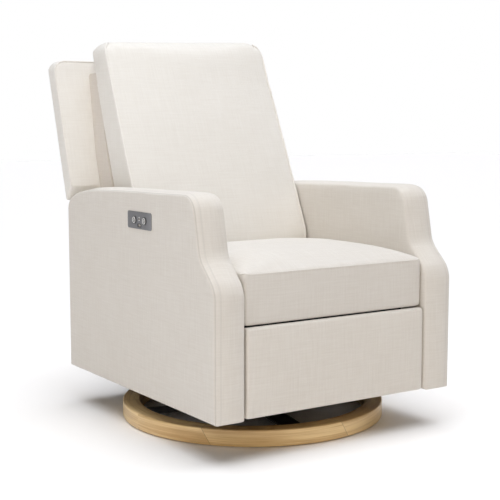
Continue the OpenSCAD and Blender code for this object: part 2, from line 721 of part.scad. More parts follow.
yoke_slot_play = 1.3;
yoke_x0 = 6;
yoke_t = 4;
yoke_hl = 15;
module actuator_slider() color([0.75, 0.75, 0.72]) {
    y = crank_pin[0];
    x = track_w / 2 - track_wall - side_play;
    z0 = track_z + track_wall + side_play;
    z1 = track_z + track_h - track_wall - side_play;
    base_z = track_z + track_h + 3;
    top_z = crank_pin[1] + 14;
    block(-x, x, y - slider_l / 2, y + slider_l / 2, z0, z1);
    block(-7 + side_play, 7 - side_play, y - yoke_hl, y + yoke_hl, z1 - 1, base_z + 1);
    block(-yoke_x0 - yoke_t, yoke_x0 + yoke_t, y - yoke_hl, y + yoke_hl, track_z + track_h + side_play,
        base_z + 3);
    difference() {
        both_sides() block(yoke_x0, yoke_x0 + yoke_t, y - yoke_hl, y + yoke_hl, base_z, top_z);
        both_sides() {
            w = pin_r + yoke_slot_play;
            block(yoke_x0 - 1, yoke_x0 + yoke_t + 1, y - w, y + w, crank_low_z, crank_pin[1]);
            rod_x(yoke_x0 - 1, yoke_x0 + yoke_t + 1, [y, crank_low_z], w);
            rod_x(yoke_x0 - 1, yoke_x0 + yoke_t + 1, crank_pin, w);
        }
    }
}

// ---- footrest mechanism ----
module drive_tube() color([0.16, 0.16, 0.17]) {
    difference() {
        rod_x(-outer_layer, outer_layer, tube_p, tube_r);
        rod_x(-inner_x, inner_x, tube_p, tube_r - tube_wall);
    }
    bar_plate(-4, 8, tube_p, crank_pin, 18);
    rod_x(-yoke_x0 - yoke_t - 2, yoke_x0 + yoke_t + 2, crank_pin, pin_r);
    both_sides() {
        bar_plate(crank_layer, rod_t, tube_p, rod_front, 18);
        rod_x(crank_layer + 1, rod_layer + rod_t + side_play + pin_head_t, rod_front, slim_pin_r);
        rod_x(rod_layer + rod_t + side_play, rod_layer + rod_t + side_play + pin_head_t, rod_front,
            slim_pin_r + 4);
    }
}

module scissor_drive_bars() color([0.2, 0.2, 0.22]) both_sides() {
    bar_plate(outer_layer, bar_t, tube_p, drive_end, bar_w);
    rod_x(outer_layer, outer_layer + bar_t, tube_p, tube_r + 1);
    rod_x(outer_layer + 1, plate_x + bar_t + 2.3, tube_p, journal_r);
    rod_x(outer_layer + bar_t, plate_x - side_play, tube_p, journal_r + 3);
    rod_x(plate_x + bar_t + side_play, plate_x + bar_t + 2.3, tube_p, journal_r + 3);
    inward_rivet(outer_layer + 1, inner_layer, drive_mid, pin_r);
    inward_rivet(outer_layer + 1, inner_layer, drive_end, pin_r);
}

module scissor_guide_bars() color([0.25, 0.25, 0.27]) both_sides() {
    difference() {
        bar_plate(inner_layer, bar_t, guide_foot, guide_head, bar_w);
        for (p = [drive_mid, guide_head])
            rod_x(inner_layer - 1, inner_layer + bar_t + 1, p, pin_r + run_gap);
    }
    rod_x(inner_layer + 1, plate_x + bar_t + 2.3, guide_foot, pin_r);
    rod_x(inner_layer + bar_t, plate_x - side_play, guide_foot, pin_r + 3);
    rod_x(plate_x + bar_t + side_play, plate_x + bar_t + 2.3, guide_foot, pin_r + 3);
}

module scissor_lift_bars() color([0.25, 0.25, 0.27]) both_sides() difference() {
    bar_plate(inner_layer, bar_t, drive_end, foot_hinge, bar_w);
    for (p = [drive_end, lift_mid, foot_hinge])
        rod_x(inner_layer - 1, inner_layer + bar_t + 1, p, pin_r + run_gap);
}

module scissor_outer_bars() color([0.2, 0.2, 0.22]) both_sides() {
    bar_plate(outer_layer, bar_t, guide_head, outer_foot, bar_w);
    inward_rivet(outer_layer + 1, inner_layer, guide_head, pin_r);
    inward_rivet(outer_layer + 1, inner_layer, lift_mid, pin_r);
    inward_rivet(outer_layer + 1, control_layer, outer_foot, pin_r);
}

control_play = 5.4;
module footrest_control_links() color([0.25, 0.25, 0.27]) both_sides() difference() {
    union() {
        bar_plate(control_layer, bar_t, outer_foot, control_eye, bar_w);
        rod_x(control_layer, control_layer + bar_t, control_eye, slim_pin_r + control_play + 3);
    }
    rod_x(control_layer - 1, control_layer + bar_t + 1, outer_foot, pin_r + run_gap);
    rod_x(control_layer - 1, control_layer + bar_t + 1, control_eye, slim_pin_r + control_play);
}

module footrest_brackets() color([0.13, 0.13, 0.14]) both_sides() {
    x1 = bracket_layer + bar_t;
    y1 = foot_hinge[0] + 11;
    along_x(bracket_layer, x1) polygon([
        [board_y1, control_lug[1] - 14], [y1 - 2, control_lug[1] - 14], [y1, control_lug[1]],
        [y1, foot_hinge[1] + 2], [y1 - 8, foot_hinge[1] + 10], [board_y1, foot_hinge[1] + 10]
    ]);
    block(bracket_layer, bracket_layer + 18, board_y1, board_y1 + bar_t, control_lug[1] - 14,
        foot_hinge[1] + 6);
    outer_x = inner_layer + bar_t + side_play;
    rod_x(x1 - 1, outer_x + pin_head_t, foot_hinge, pin_r);
    rod_x(x1, inner_layer - side_play, foot_hinge, pin_r + 3);
    rod_x(outer_x, outer_x + pin_head_t, foot_hinge, pin_r + 3);
    head_x = control_layer - side_play - pin_head_t;
    rod_x(head_x, bracket_layer + 1, control_lug, slim_pin_r);
    rod_x(head_x, head_x + pin_head_t, control_lug, slim_pin_r + control_play + 4);
}

module footrest_board() color("tan") block(-foot_x + 12, foot_x - 12, board_y0, board_y1, body_lift + 10,
    foot_top_z - 15);

foot_edge_r = 14;
module footrest_pad() color([0.9, 0.88, 0.83]) along_x(-foot_x, foot_x) polygon(concat(
    arc([board_y0 - 8, foot_top_z - 8], 8, 0, 90, 5),
    arc([front_y - 1 + foot_edge_r, foot_top_z - foot_edge_r], foot_edge_r, 90, 180, 7),
    arc([front_y - 1 + 8, body_lift + 8], 8, 180, 270, 5), [[board_y0, body_lift]]
));

// ---- recline rods ----
module recline_rod(s) color("silver") on_side(s) difference() {
    union() {
        bar_plate(rod_layer, rod_t, rod_front, rod_rear, 16);
        rod_x(rod_layer, rod_layer + rod_t, rod_front, slim_pin_r + rod_slot + 4);
    }
    square_to_rod = [-sin(rod_tilt), cos(rod_tilt)] * rod_slot;
    for (k = [-1, 0, 1]) rod_x(rod_layer - 1, rod_layer + rod_t + 1, rod_front + k * square_to_rod,
        slim_pin_r + rod_slot_play);
    slot_half = [cos(rod_tilt), sin(rod_tilt)] * (slim_pin_r + rod_slot_play);
    along_x(rod_layer - 1, rod_layer + rod_t + 1) polygon([
        rod_front + square_to_rod + slot_half, rod_front + square_to_rod - slot_half,
        rod_front - square_to_rod - slot_half, rod_front - square_to_rod + slot_half
    ]);
    rod_x(rod_layer - 1, rod_layer + rod_t + 1, rod_rear, slim_pin_r + run_gap);
}
module recline_rod_left() recline_rod(-1);
module recline_rod_right() recline_rod(1);

// ---- back ----
cross_rail_h = 50;
module post_section(low, high, gap = 0) {
    z0 = low - gap;
    z1 = high + gap;
    t0 = web_t - gap;
    t1 = web_t + back_frame_t + gap;
    polygon([
        [wing_front_y(z0) - t1, z0], [wing_front_y(z0) - t0, z0],
        [wing_front_y(z1) - t0, z1], [wing_front_y(z1) - t1, z1]
    ]);
}

module back_bracket(s) color([0.13, 0.13, 0.14]) on_side(s) {
    head = recline_z + 24;
    along_x(outer_layer, outer_layer + bar_t) polygon([
        rod_rear + [-9, -3], rod_rear + [0, -10], rod_rear + [12, -6], [recline_y + 60, recline_z - 26],
        [wing_front_y(post_z0) - 42, recline_z + 6], [wing_front_y(post_z0) - web_t - 2, post_z0],
        [wing_front_y(bracket_top_z) - web_t - 2, bracket_top_z],
        [wing_front_y(bracket_top_z) - web_t - back_frame_t + 2, bracket_top_z],
        [cushion_rear_y(post_z0) + 12, post_z0 + 10], [cushion_rear_y(head) + 6, head], [recline_y, head],
        [recline_y - 20, recline_z], [recline_y - 12, recline_z - 24]
    ]);
    rod_x(outer_layer + 1, plate_x + bar_t + 2.3, recline_p, journal_r);
    rod_x(outer_layer + bar_t, plate_x - side_play, recline_p, journal_r + 3);
    rod_x(plate_x + bar_t + side_play, plate_x + bar_t + 2.3, recline_p, journal_r + 3);
    inner_end = rod_layer - side_play - pin_head_t;
    rod_x(inner_end, outer_layer + 1, rod_rear, slim_pin_r);
    rod_x(rod_layer + rod_t + side_play, outer_layer, rod_rear, slim_pin_r + 3);
    rod_x(inner_end, inner_end + pin_head_t, rod_rear, slim_pin_r + 3);
}
module back_bracket_left() back_bracket(-1);
module back_bracket_right() back_bracket(1);

module back_frame_solid() {
    both_sides() along_x(post_x0, outer_layer) post_section(post_z0, post_z1);
    for (z = [post_z0, post_z1 - cross_rail_h])
        along_x(-post_x0, post_x0) post_section(z, z + cross_rail_h);
}
module back_frame() color("tan") back_frame_solid();

web_n = 4;
module back_webbing() color([0.3, 0.28, 0.25]) for (i = [1 : web_n]) {
    z = post_z0 + (post_z1 - post_z0) * i / (web_n + 1) + 10;
    along_x(-outer_layer, outer_layer) polygon([
        [wing_front_y(z - 25) - web_t, z - 25], [wing_front_y(z - 25) - 0.2, z - 25],
        [wing_front_y(z + 25) - 0.2, z + 25], [wing_front_y(z + 25) - web_t, z + 25]
    ]);
}

core_gap = 0.2;
core_edge_x = inner_x - 1;
module back_core() color([0.8, 0.77, 0.7]) difference() {
    intersection() {
        along_x(-inner_x, inner_x) polygon([
            [cushion_rear_y(cushion_foot_z) + core_gap, cushion_foot_z],
            [cushion_rear_y(core_top_z) + core_gap, core_top_z],
            [wing_front_y(core_top_z) - web_t - core_gap, core_top_z],
            [wing_front_y(cushion_foot_z) - web_t - core_gap, cushion_foot_z]
        ]);
        along_y(recline_y, rear_y + 200) polygon([
            [-core_x, cushion_foot_z - 1], [core_x, cushion_foot_z - 1],
            [core_x, core_wide_z], [core_edge_x, core_wide_z], [core_edge_x, back_full_z - 20],
            [core_edge_x - 18, core_top_z + 1], [-core_edge_x + 18, core_top_z + 1],
            [-core_edge_x, back_full_z - 20], [-core_edge_x, core_wide_z], [-core_x, core_wide_z]
        ]);
    }
    difference() {
        along_x(-outer_layer - core_gap, outer_layer + core_gap) post_section(post_z0, post_z1, core_gap);
        along_x(-post_x0 + core_gap, post_x0 - core_gap)
            post_section(post_z0 + cross_rail_h + 1 + core_gap, post_z1 - cross_rail_h - 1 - core_gap, 1);
    }
}

cushion_top_r = 34;
cushion_corner_r = 60;
cushion_foot_x = outer_layer - 5;
module cushion_side(z0) {
    z1 = back_top_z;
    front = [face_y(z1 - cushion_top_r), z1 - cushion_top_r];
    rear = [cushion_rear_y(z1 - cushion_top_r), z1 - cushion_top_r];
    polygon([
        [face_y(z0), z0], front, [front[0] + 16, z1 - 10], [front[0] + 34, z1], [rear[0] - 14, z1],
        [rear[0] + 6, z1 - 12], rear, [cushion_rear_y(z0), z0]
    ]);
}
module back_cushion() color([0.95, 0.93, 0.9]) {
    corner_x = inner_x - 13 - cushion_corner_r;
    foot_top = cushion_foot_z + 1;
    intersection() {
        along_x(-inner_x, inner_x) cushion_side(cushion_foot_z);
        along_y(recline_y - back_reach - 20, rear_y + 200) polygon(concat(
            [[-cushion_x, cushion_foot_z], [cushion_x, cushion_foot_z], [cushion_x + 2, back_full_z]],
            arc([corner_x, back_top_z - cushion_corner_r], cushion_corner_r, 5, 90, 8),
            arc([-corner_x, back_top_z - cushion_corner_r], cushion_corner_r, 90, 175, 8),
            [[-cushion_x - 2, back_full_z]]
        ));
    }
    intersection() {
        along_x(-cushion_foot_x, cushion_foot_x) polygon([
            [cushion_rear_y(cushion_foot_z), foot_top], [face_y(foot_top), foot_top], face_foot,
            [recline_y - back_reach - 1, recline_z], [recline_y + 40, recline_z]
        ]);
        rod_x(-cushion_foot_x - 1, cushion_foot_x + 1, recline_p + [60, 0], back_reach + 60);
    }
}

module outer_back() color([0.88, 0.86, 0.8]) difference() {
    intersection() {
        along_x(-body_w / 2, body_w / 2) polygon([
            [back_low_front_y, back_low_z], [rear_panel_y - 4, back_low_z],
            [rear_panel_y - 4, recline_z + 32], [wing_rear_y(recline_z + 32), recline_z + 32],
            [wing_rear_y(wing_top_z), wing_top_z],
            [wing_front_y(wing_top_z), wing_top_z], [wing_front_y(recline_z + 60), recline_z + 60],
            [back_low_front_y, recline_z + 60]
        ]);
        along_y(recline_y, rear_y + 250) polygon(concat(
            [[-cushion_x, wing_wide_z], [-cushion_x, back_low_z - 1], [cushion_x, back_low_z - 1],
                [cushion_x, wing_wide_z], [body_w / 2, wing_wide_z]],
            arc([body_w / 2 - wing_corner_r, wing_top_z - wing_corner_r], wing_corner_r, 0, 90, 8),
            arc([-body_w / 2 + wing_corner_r, wing_top_z - wing_corner_r], wing_corner_r, 90, 180, 8),
            [[-body_w / 2, wing_wide_z]]
        ));
    }
    both_sides() rod_x(cushion_x, body_w, recline_p, wing_sweep_r);
}

// ---- controls on the left arm ----
inlet_r = 8;
inlet_x = -200;
inlet_z = 140;
module inlet_bore(r) translate([inlet_x, rear_panel_y - 1, inlet_z]) rotate([-90, 0, 0])
    cylinder(h = rear_panel_t + 2, r = r);

module power_inlet() color([0.06, 0.06, 0.06]) difference() {
    union() {
        translate([inlet_x, rear_panel_y + 3, inlet_z]) rotate([-90, 0, 0])
            cylinder(h = rear_panel_t - 2, r = inlet_r);
        translate([inlet_x, rear_panel_y + rear_panel_t, inlet_z]) rotate([-90, 0, 0])
            cylinder(h = 1.5, r = inlet_r + 3);
    }
    translate([inlet_x, rear_panel_y + 8, inlet_z]) rotate([-90, 0, 0]) cylinder(h = 20, r = 2.8, $fn = 32);
}

plate_out = body_w / 2 + 1.5;
usb_w = 20;
usb_h = 9;
usb_drop = 13;
ring_rise = 4;
ring_out_r = 5.3;
module button_axis(k, x0, x1, r) rod_x(x0, x1, [panel_y + k * button_pitch / 2, panel_z], r);
module usb_block(x0, x1, gap) block(x0, x1, panel_y - usb_w / 2 - gap, panel_y + usb_w / 2 + gap,
    panel_z - usb_drop - usb_h / 2 - gap, panel_z - usb_drop + usb_h / 2 + gap);

module control_plate() color([0.22, 0.22, 0.23]) on_side(-1) difference() {
    union() {
        along_x(body_w / 2 - panel_t + 1, plate_out) plate_outline(6);
        block(body_w / 2 - panel_t - panel_box_t, body_w / 2 - panel_t + 1.5, panel_y - panel_l / 2 + 8,
            panel_y + panel_l / 2 - 8, panel_z - panel_h / 2 + 5, panel_z + panel_h / 2 - 5);
    }
    for (k = [-1, 1]) button_axis(k, body_w / 2 - 14, body_w / 2 + 5, button_r + side_play);
    usb_block(body_w / 2 - 14, body_w / 2 + 5, 0.02);
    rod_x(body_w / 2 - 4, body_w / 2 + 5, [panel_y, panel_z + ring_rise], ring_out_r + 0.02);
}
module plate_outline(r) polygon(concat(
    arc([panel_y + panel_l / 2 - r, panel_z + panel_h / 2 - r], r, 0, 90, 5),
    arc([panel_y - panel_l / 2 + r, panel_z + panel_h / 2 - r], r, 90, 180, 5),
    arc([panel_y - panel_l / 2 + r, panel_z - panel_h / 2 + r], r, 180, 270, 5),
    arc([panel_y + panel_l / 2 - r, panel_z - panel_h / 2 + r], r, 270, 360, 5)
));

module push_button(k) color([0.12, 0.12, 0.13]) on_side(-1) {
    button_axis(k, body_w / 2 - 13.7 + button_travel, plate_out + 1.8, button_r);
}
module button_recline() push_button(-1);
module button_return() push_button(1);

module indicator_ring() color("silver") on_side(-1)
    rod_x(body_w / 2 - 4, plate_out + 0.6, [panel_y, panel_z + ring_rise], ring_out_r);

module usb_socket() color("black") on_side(-1) difference() {
    usb_block(body_w / 2 - 14, plate_out + 0.5, 0);
    block(body_w / 2 - 10, plate_out + 1, panel_y - 7, panel_y + 7, panel_z - usb_drop - 2.6,
        panel_z - usb_drop + 2.6);
}

base_ring();
base_glides();
base_cross();
base_screws();
swivel_lower_race();
swivel_balls();
swivel_king_pin();
swivel_upper_race();
swivel_frame();
glide_hanger_left();
glide_hanger_right();
glide_upper_pins();
glide_front_links();
glide_rear_links();
glide_rail_left();
glide_rail_right();
glide_lower_pins();
front_rail();
rear_rail();
arm_frame_left();
arm_frame_right();
arm_left();
arm_right();
rear_panel();
dust_cover();
mechanism_plate_left();
mechanism_plate_right();
mechanism_bolts();
rear_cross_tube();
seat_frame();
seat_springs();
seat_cushion();
actuator_track();
actuator_motor();
actuator_slider();
control_plate();
button_recline();
button_return();
indicator_ring();
usb_socket();
power_inlet();
back_bracket_left();
back_bracket_right();
back_frame();
back_webbing();
back_core();
back_cushion();
outer_back();
recline_rod_left();
recline_rod_right();
drive_tube();
scissor_drive_bars();
scissor_guide_bars();
scissor_lift_bars();
scissor_outer_bars();
footrest_control_links();
footrest_brackets();
footrest_board();
footrest_pad();
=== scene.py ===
"""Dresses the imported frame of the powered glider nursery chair.

The frame gives every rigid part and its place. This script adds the upholstery, the oak ring, the
trim of the control plate and the finishes, and sets the studio and the camera.
"""

import logging
import math
from collections.abc import Callable, Iterable, Sequence
from dataclasses import dataclass
from enum import Enum

import bmesh
import bpy
from bmesh.types import BMEdge, BMFace, BMVert
from bpy.types import Material, Node, NodeSocket, NodeTree, Object
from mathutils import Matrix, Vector


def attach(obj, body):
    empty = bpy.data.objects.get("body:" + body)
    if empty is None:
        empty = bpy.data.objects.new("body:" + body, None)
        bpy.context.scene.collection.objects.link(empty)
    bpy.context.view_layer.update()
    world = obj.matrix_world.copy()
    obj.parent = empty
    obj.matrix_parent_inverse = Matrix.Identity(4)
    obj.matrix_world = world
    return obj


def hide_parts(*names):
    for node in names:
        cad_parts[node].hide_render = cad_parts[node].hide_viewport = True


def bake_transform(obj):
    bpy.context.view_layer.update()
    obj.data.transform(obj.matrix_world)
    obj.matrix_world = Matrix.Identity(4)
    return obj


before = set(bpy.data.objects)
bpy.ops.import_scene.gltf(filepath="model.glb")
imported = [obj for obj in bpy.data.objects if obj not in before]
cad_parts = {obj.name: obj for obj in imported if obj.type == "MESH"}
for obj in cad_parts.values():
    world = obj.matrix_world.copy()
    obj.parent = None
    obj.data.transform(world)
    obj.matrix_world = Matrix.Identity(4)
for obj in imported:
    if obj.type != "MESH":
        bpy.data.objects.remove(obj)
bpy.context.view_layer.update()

LOG = logging.getLogger("nursery_chair")
NEAR = 1e-6  # two places closer than this are one
SHARP = 0.9  # an edge that folds more than this is a rim, in radians

Colour = tuple[float, float, float]
Place = tuple[float, float, float]
Point = tuple[float, float]
Values = tuple[NodeSocket, ...]
Links = dict[str | int, object]  # values or output sockets, by the names or numbers of a node's inputs


def held(share: float) -> float:
    """A share, held between 0 and 1."""
    return max(0.0, min(1.0, share))


def beside(half: float) -> Callable[[Vector], bool]:
    """A test for places that lie at either side, at this distance from the middle plane."""
    return lambda p: abs(abs(p.x) - half) < NEAR


def mirrored(line: Sequence[Vector]) -> list[Vector]:
    """The line of the other side, run through from its far end."""
    return [Vector((-p.x, p.y, p.z)) for p in reversed(line)]


# ---- the sizes that pieces share, in metres ----


@dataclass(frozen=True)
class Plan:
    """Levels and planes of the frame that the upholstery is fitted to."""

    front: float = -0.404
    rear: float = 0.416
    half_width: float = 0.375
    arm_inner: float = 0.287
    underside: float = 0.104
    seat_half: float = 0.284
    seat_seam: float = 0.463
    cushion_level: float = 0.4614
    face_at: float = 0.10905
    face_lean: float = math.radians(23.9)
    cushion_rear_at: float = 0.24605
    cushion_rear_lean: float = math.radians(20.15)
    arm_top: float = 0.640
    wing_front_at: float = 0.391
    wing_lean: float = math.radians(17.0)

    def face_y(self, z: float) -> float:
        """The front of the back cushion at a height."""
        return self.face_at + (z - self.cushion_level) * math.tan(self.face_lean)

    def cushion_rear_y(self, z: float) -> float:
        """The rear of the back cushion at a height."""
        return self.cushion_rear_at + (z - self.cushion_level) * math.tan(self.cushion_rear_lean)

    def wing_front_y(self, z: float) -> float:
        """The front of the outer back at a height."""
        return self.wing_front_at + (z - self.arm_top) * math.tan(self.wing_lean)


PLAN = Plan()


# ---- node groups ----


class Socket(Enum):
    """Kinds of value that a node group takes in or gives out."""

    VALUE = "NodeSocketFloat"
    VECTOR = "NodeSocketVector"


class Graph:
    """A node tree that is filled in by short calls, whose inputs are values or output sockets."""

    def __init__(self, tree: NodeTree) -> None:
        """Wraps the node tree of a material, a world or a group."""
        self.tree = tree

    def feed(self, node: Node, links: Links) -> None:
        """Sets a node's inputs.

        Args:
            node: The node.
            links: What goes into them.
        """
        for key, value in links.items():
            if isinstance(value, NodeSocket):
                self.tree.links.new(value, node.inputs[key])
            else:
                node.inputs[key].default_value = value

    def add(self, kind: str, links: Links | None = None, **settings: object) -> Node:
        """Adds a node.

        Args:
            kind: The node's type name without its ShaderNode prefix.
            links: What goes into its inputs.
            **settings: The node's own properties.

        Returns:
            The new node.
        """
        node = self.tree.nodes.new("ShaderNode" + kind)
        for key, value in settings.items():
            setattr(node, key, value)
        self.feed(node, links or {})
        return node

    def math(self, operation: str, *terms: object, clamp: bool = False) -> NodeSocket:
        """The output of a Math node, or of a chain of them.

        Args:
            operation: What the nodes do.
            *terms: One term, or two and more that are taken from the left.
            clamp: Whether each result is held between 0 and 1.

        Returns:
            The last result.
        """
        total = terms[0]
        for term in terms[1:] or (0.0,):
            total = self.add("Math", {0: total, 1: term}, operation=operation, use_clamp=clamp).outputs[0]
        return total

    def plus(self, *terms: object, clamp: bool = False) -> NodeSocket:
        """The sum of the terms."""
        return self.math("ADD", *terms, clamp=clamp)

    def less(self, a: object, b: object, clamp: bool = False) -> NodeSocket:
        """What is left of a without b."""
        return self.math("SUBTRACT", a, b, clamp=clamp)

    def times(self, *terms: object) -> NodeSocket:
        """The product of the terms."""
        return self.math("MULTIPLY", *terms)

    def mix(self, share: object, a: object, b: object) -> NodeSocket:
        """The colour that lies the given share of the way from a to b."""
        a, b = [(*c, 1.0) if isinstance(c, tuple) else c for c in (a, b)]
        return self.add("Mix", {0: share, 6: a, 7: b}, data_type="RGBA").outputs[2]

    def ramp(self, value: object, low: float, high: float, start: float = 0.0, end: float = 1.0) -> NodeSocket:
        """A value mapped smoothly from one range to another."""
        links = {0: value, 1: low, 2: high, 3: start, 4: end}
        return self.add("MapRange", links, interpolation_type="SMOOTHSTEP").outputs[0]

    def noise(self, vector: object, scale: float = 1.0, detail: float = 2.0) -> NodeSocket:
        """The value of a Noise texture, about 0.5 in the middle."""
        return self.add("TexNoise", {"Vector": vector, "Scale": scale, "Detail": detail}).outputs[0]

    def scaled(self, vector: object, scale: Sequence[float], turn: float = 0.0) -> NodeSocket:
        """A vector that a Mapping node turns about Z and then scales."""
        return self.add("Mapping", {"Vector": vector, "Scale": scale, "Rotation": (0.0, 0.0, turn)}).outputs[0]

    def here(self) -> NodeSocket:
        """The place on the piece, in Object coordinates."""
        return self.add("TexCoord").outputs["Object"]

    def axes(self, vector: object) -> list[NodeSocket]:
        """The three parts of a vector."""
        return list(self.add("SeparateXYZ", {0: vector}).outputs)

    def bump(self, height: object, distance: float, strength: float) -> NodeSocket:
        """The normal that a height gives."""
        return self.add("Bump", {"Strength": strength, "Distance": distance, "Height": height}).outputs[0]


@dataclass(frozen=True)
class Effect:
    """A shader node group that is built once and shared between finishes."""

    name: str
    inputs: dict[str, float | None]  # start values, and None for a vector
    outputs: tuple[str, ...]
    fill: Callable[..., Values]

    def tree(self) -> NodeTree:
        """Builds the group at the first call.

        Returns:
            The group's node tree.
        """
        if self.name in bpy.data.node_groups:
            return bpy.data.node_groups[self.name]
        tree = bpy.data.node_groups.new(self.name, "ShaderNodeTree")
        for label, start in self.inputs.items():
            kind = Socket.VECTOR if start is None else Socket.VALUE
            socket = tree.interface.new_socket(label, in_out="INPUT", socket_type=kind.value)
            if start is not None:
                socket.default_value = start
        for label in self.outputs:
            tree.interface.new_socket(label, in_out="OUTPUT", socket_type=Socket.VALUE.value)
        given = tree.nodes.new("NodeGroupInput").outputs[: len(self.inputs)]
        made = self.fill(Graph(tree), *given)
        Graph(tree).feed(tree.nodes.new("NodeGroupOutput"), dict(zip(self.outputs, made)))
        return tree

    def place(self, g: Graph, links: Links) -> list[NodeSocket]:
        """Places the group in a material, and gives its outputs."""
        return list(g.add("Group", links, node_tree=self.tree()).outputs)


def linen_weave(g: Graph, cloth: NodeSocket, pitch: NodeSocket, slub: NodeSocket) -> Values:
    """Plain linen: fine crossed threads with longer slubs, and a soft mottle.

    Args:
        g: The group's graph.
        cloth: The cloth map, in metres.
        pitch: The distance between two threads.
        slub: How much the slubs darken.

    Returns:
        The tone and the height.
    """
    wobble = g.times(g.less(g.noise(cloth, 60.0), 0.5), 0.0012)
    waves = [
        g.math("SINE", g.math("DIVIDE", g.times(g.plus(place, wobble), math.tau), pitch)) for place in g.axes(cloth)[:2]
    ]
    weave = g.times(*waves)
    across = g.noise(g.scaled(cloth, (14.0, 520.0, 1.0)), detail=3.0)
    upright = g.noise(g.scaled(cloth, (520.0, 14.0, 1.0)), detail=3.0)
    slubs = g.plus(g.ramp(across, 0.56, 0.74), g.times(g.ramp(upright, 0.58, 0.76), 0.7))
    threads = g.plus(g.less(across, 0.5), g.less(upright, 0.5))
    mottle = g.less(g.noise(cloth, 9.0, 3.0), 0.5)
    streaks = g.plus(*[g.noise(g.scaled(cloth, size)) for size in ((12.0, 200.0, 1.0), (200.0, 12.0, 1.0))])
    streaks = g.less(streaks, 1.0)
    tone = g.plus(g.times(weave, 0.16), g.times(threads, 0.9), g.times(mottle, 0.35), g.times(streaks, 0.75), 0.5)
    return g.less(tone, g.times(slubs, slub), clamp=True), g.plus(g.times(weave, 0.5), g.times(slubs, 0.7), threads)


def sewn_edge(g: Graph, away: NodeSocket, run: NodeSocket, offset: NodeSocket) -> Values:
    """A furrow on a seam, with one row of stitches in a dip beside it; the furrow and the dip are darkened with painted
    shade.

    Args:
        g: The group's graph.
        away: The distance from the seam, in metres.
        run: The place along the seam.
        offset: The distance from the seam to its stitches.

    Returns:
        The painted shade of the furrow and the dip (also sunk into the height), the stitches and the height.
    """
    # painted shade in the furrow and the dip, also used as their depth
    furrow = g.ramp(away, 0.0004, 0.0022, 1.0, 0.0)
    beside = g.math("ABSOLUTE", g.less(away, offset))
    dash = g.ramp(g.math("ABSOLUTE", g.math("SINE", g.times(run, 780.0))), 0.25, 0.5)
    stitch = g.times(g.ramp(beside, 0.0005, 0.0013, 1.0, 0.0), dash)
    dip = g.ramp(beside, 0.0006, 0.0026, 1.0, 0.0)
    shade = g.plus(g.times(furrow, 0.75), g.times(dip, 0.5), clamp=True)
    return shade, stitch, g.less(g.times(stitch, 0.8), g.times(shade, 1.4))


def wood_grain(g: Graph, vector: NodeSocket) -> Values:
    """Growth bands, finer lines and short dark pores along X.

    Args:
        g: The group's graph.
        vector: The place in the board, with X along it.

    Returns:
        The grain and the pores.
    """
    bend = g.noise(g.scaled(vector, (3.0, 26.0, 26.0)), detail=3.0)
    bands = g.noise(g.scaled(vector, (2.2, 75.0, 75.0)), detail=4.0)
    lines = g.noise(g.scaled(vector, (9.0, 420.0, 420.0)), detail=3.0)
    pores = g.ramp(g.noise(g.scaled(vector, (42.0, 1500.0, 1500.0))), 0.60, 0.72)
    grain = g.plus(g.times(bands, 0.55), g.times(lines, 0.30), g.times(bend, 0.30), g.times(pores, 0.05))
    return g.ramp(grain, 0.40, 0.72), pores


def worn_coat(g: Graph, amount: NodeSocket) -> Values:
    """Fine orange peel, dust and rubbed spots of a coated or plated metal.

    Args:
        g: The group's graph.
        amount: How strong the marks are.

    Returns:
        The peel and the marks.
    """
    where = g.here()
    scratches = g.ramp(g.noise(g.scaled(where, (12.0, 900.0, 60.0), 0.4)), 0.66, 0.72)
    clouds = g.ramp(g.noise(where, 22.0, 4.0), 0.35, 0.75)
    marks = g.plus(g.times(clouds, 0.7), g.times(scratches, 0.3))
    return g.noise(where, 900.0, 1.0), g.times(marks, amount)


LINEN_WEAVE = Effect("LinenWeave", {"Cloth": None, "Pitch": 0.0016, "Slub": 0.25}, ("Tone", "Height"), linen_weave)
SEWN_EDGE = Effect("SewnEdge", {"Distance": 1.0, "Run": 0.0, "Offset": 0.014}, ("Shade", "Stitch", "Height"), sewn_edge)
WOOD_GRAIN = Effect("WoodGrain", {"Vector": None}, ("Grain", "Pores"), wood_grain)
WORN_COAT = Effect("WornCoat", {"Amount": 1.0}, ("Peel", "Marks"), worn_coat)


# ---- finishes ----


@dataclass(frozen=True)
class Finish:
    """What every finish has: a name and the call that builds its material."""

    name: str

    def material(self) -> Material:
        """Builds the finish's material at the first call.

        Returns:
            The material.
        """
        if self.name in bpy.data.materials:
            return bpy.data.materials[self.name]
        made = bpy.data.materials.new(self.name)
        made.use_nodes = True
        g = Graph(made.node_tree)
        g.feed(made.node_tree.nodes["Principled BSDF"], self.inputs(g))
        return made

    def inputs(self, g: Graph) -> Links:
        """What goes into the Principled BSDF of the graph's material, by input."""
        raise NotImplementedError


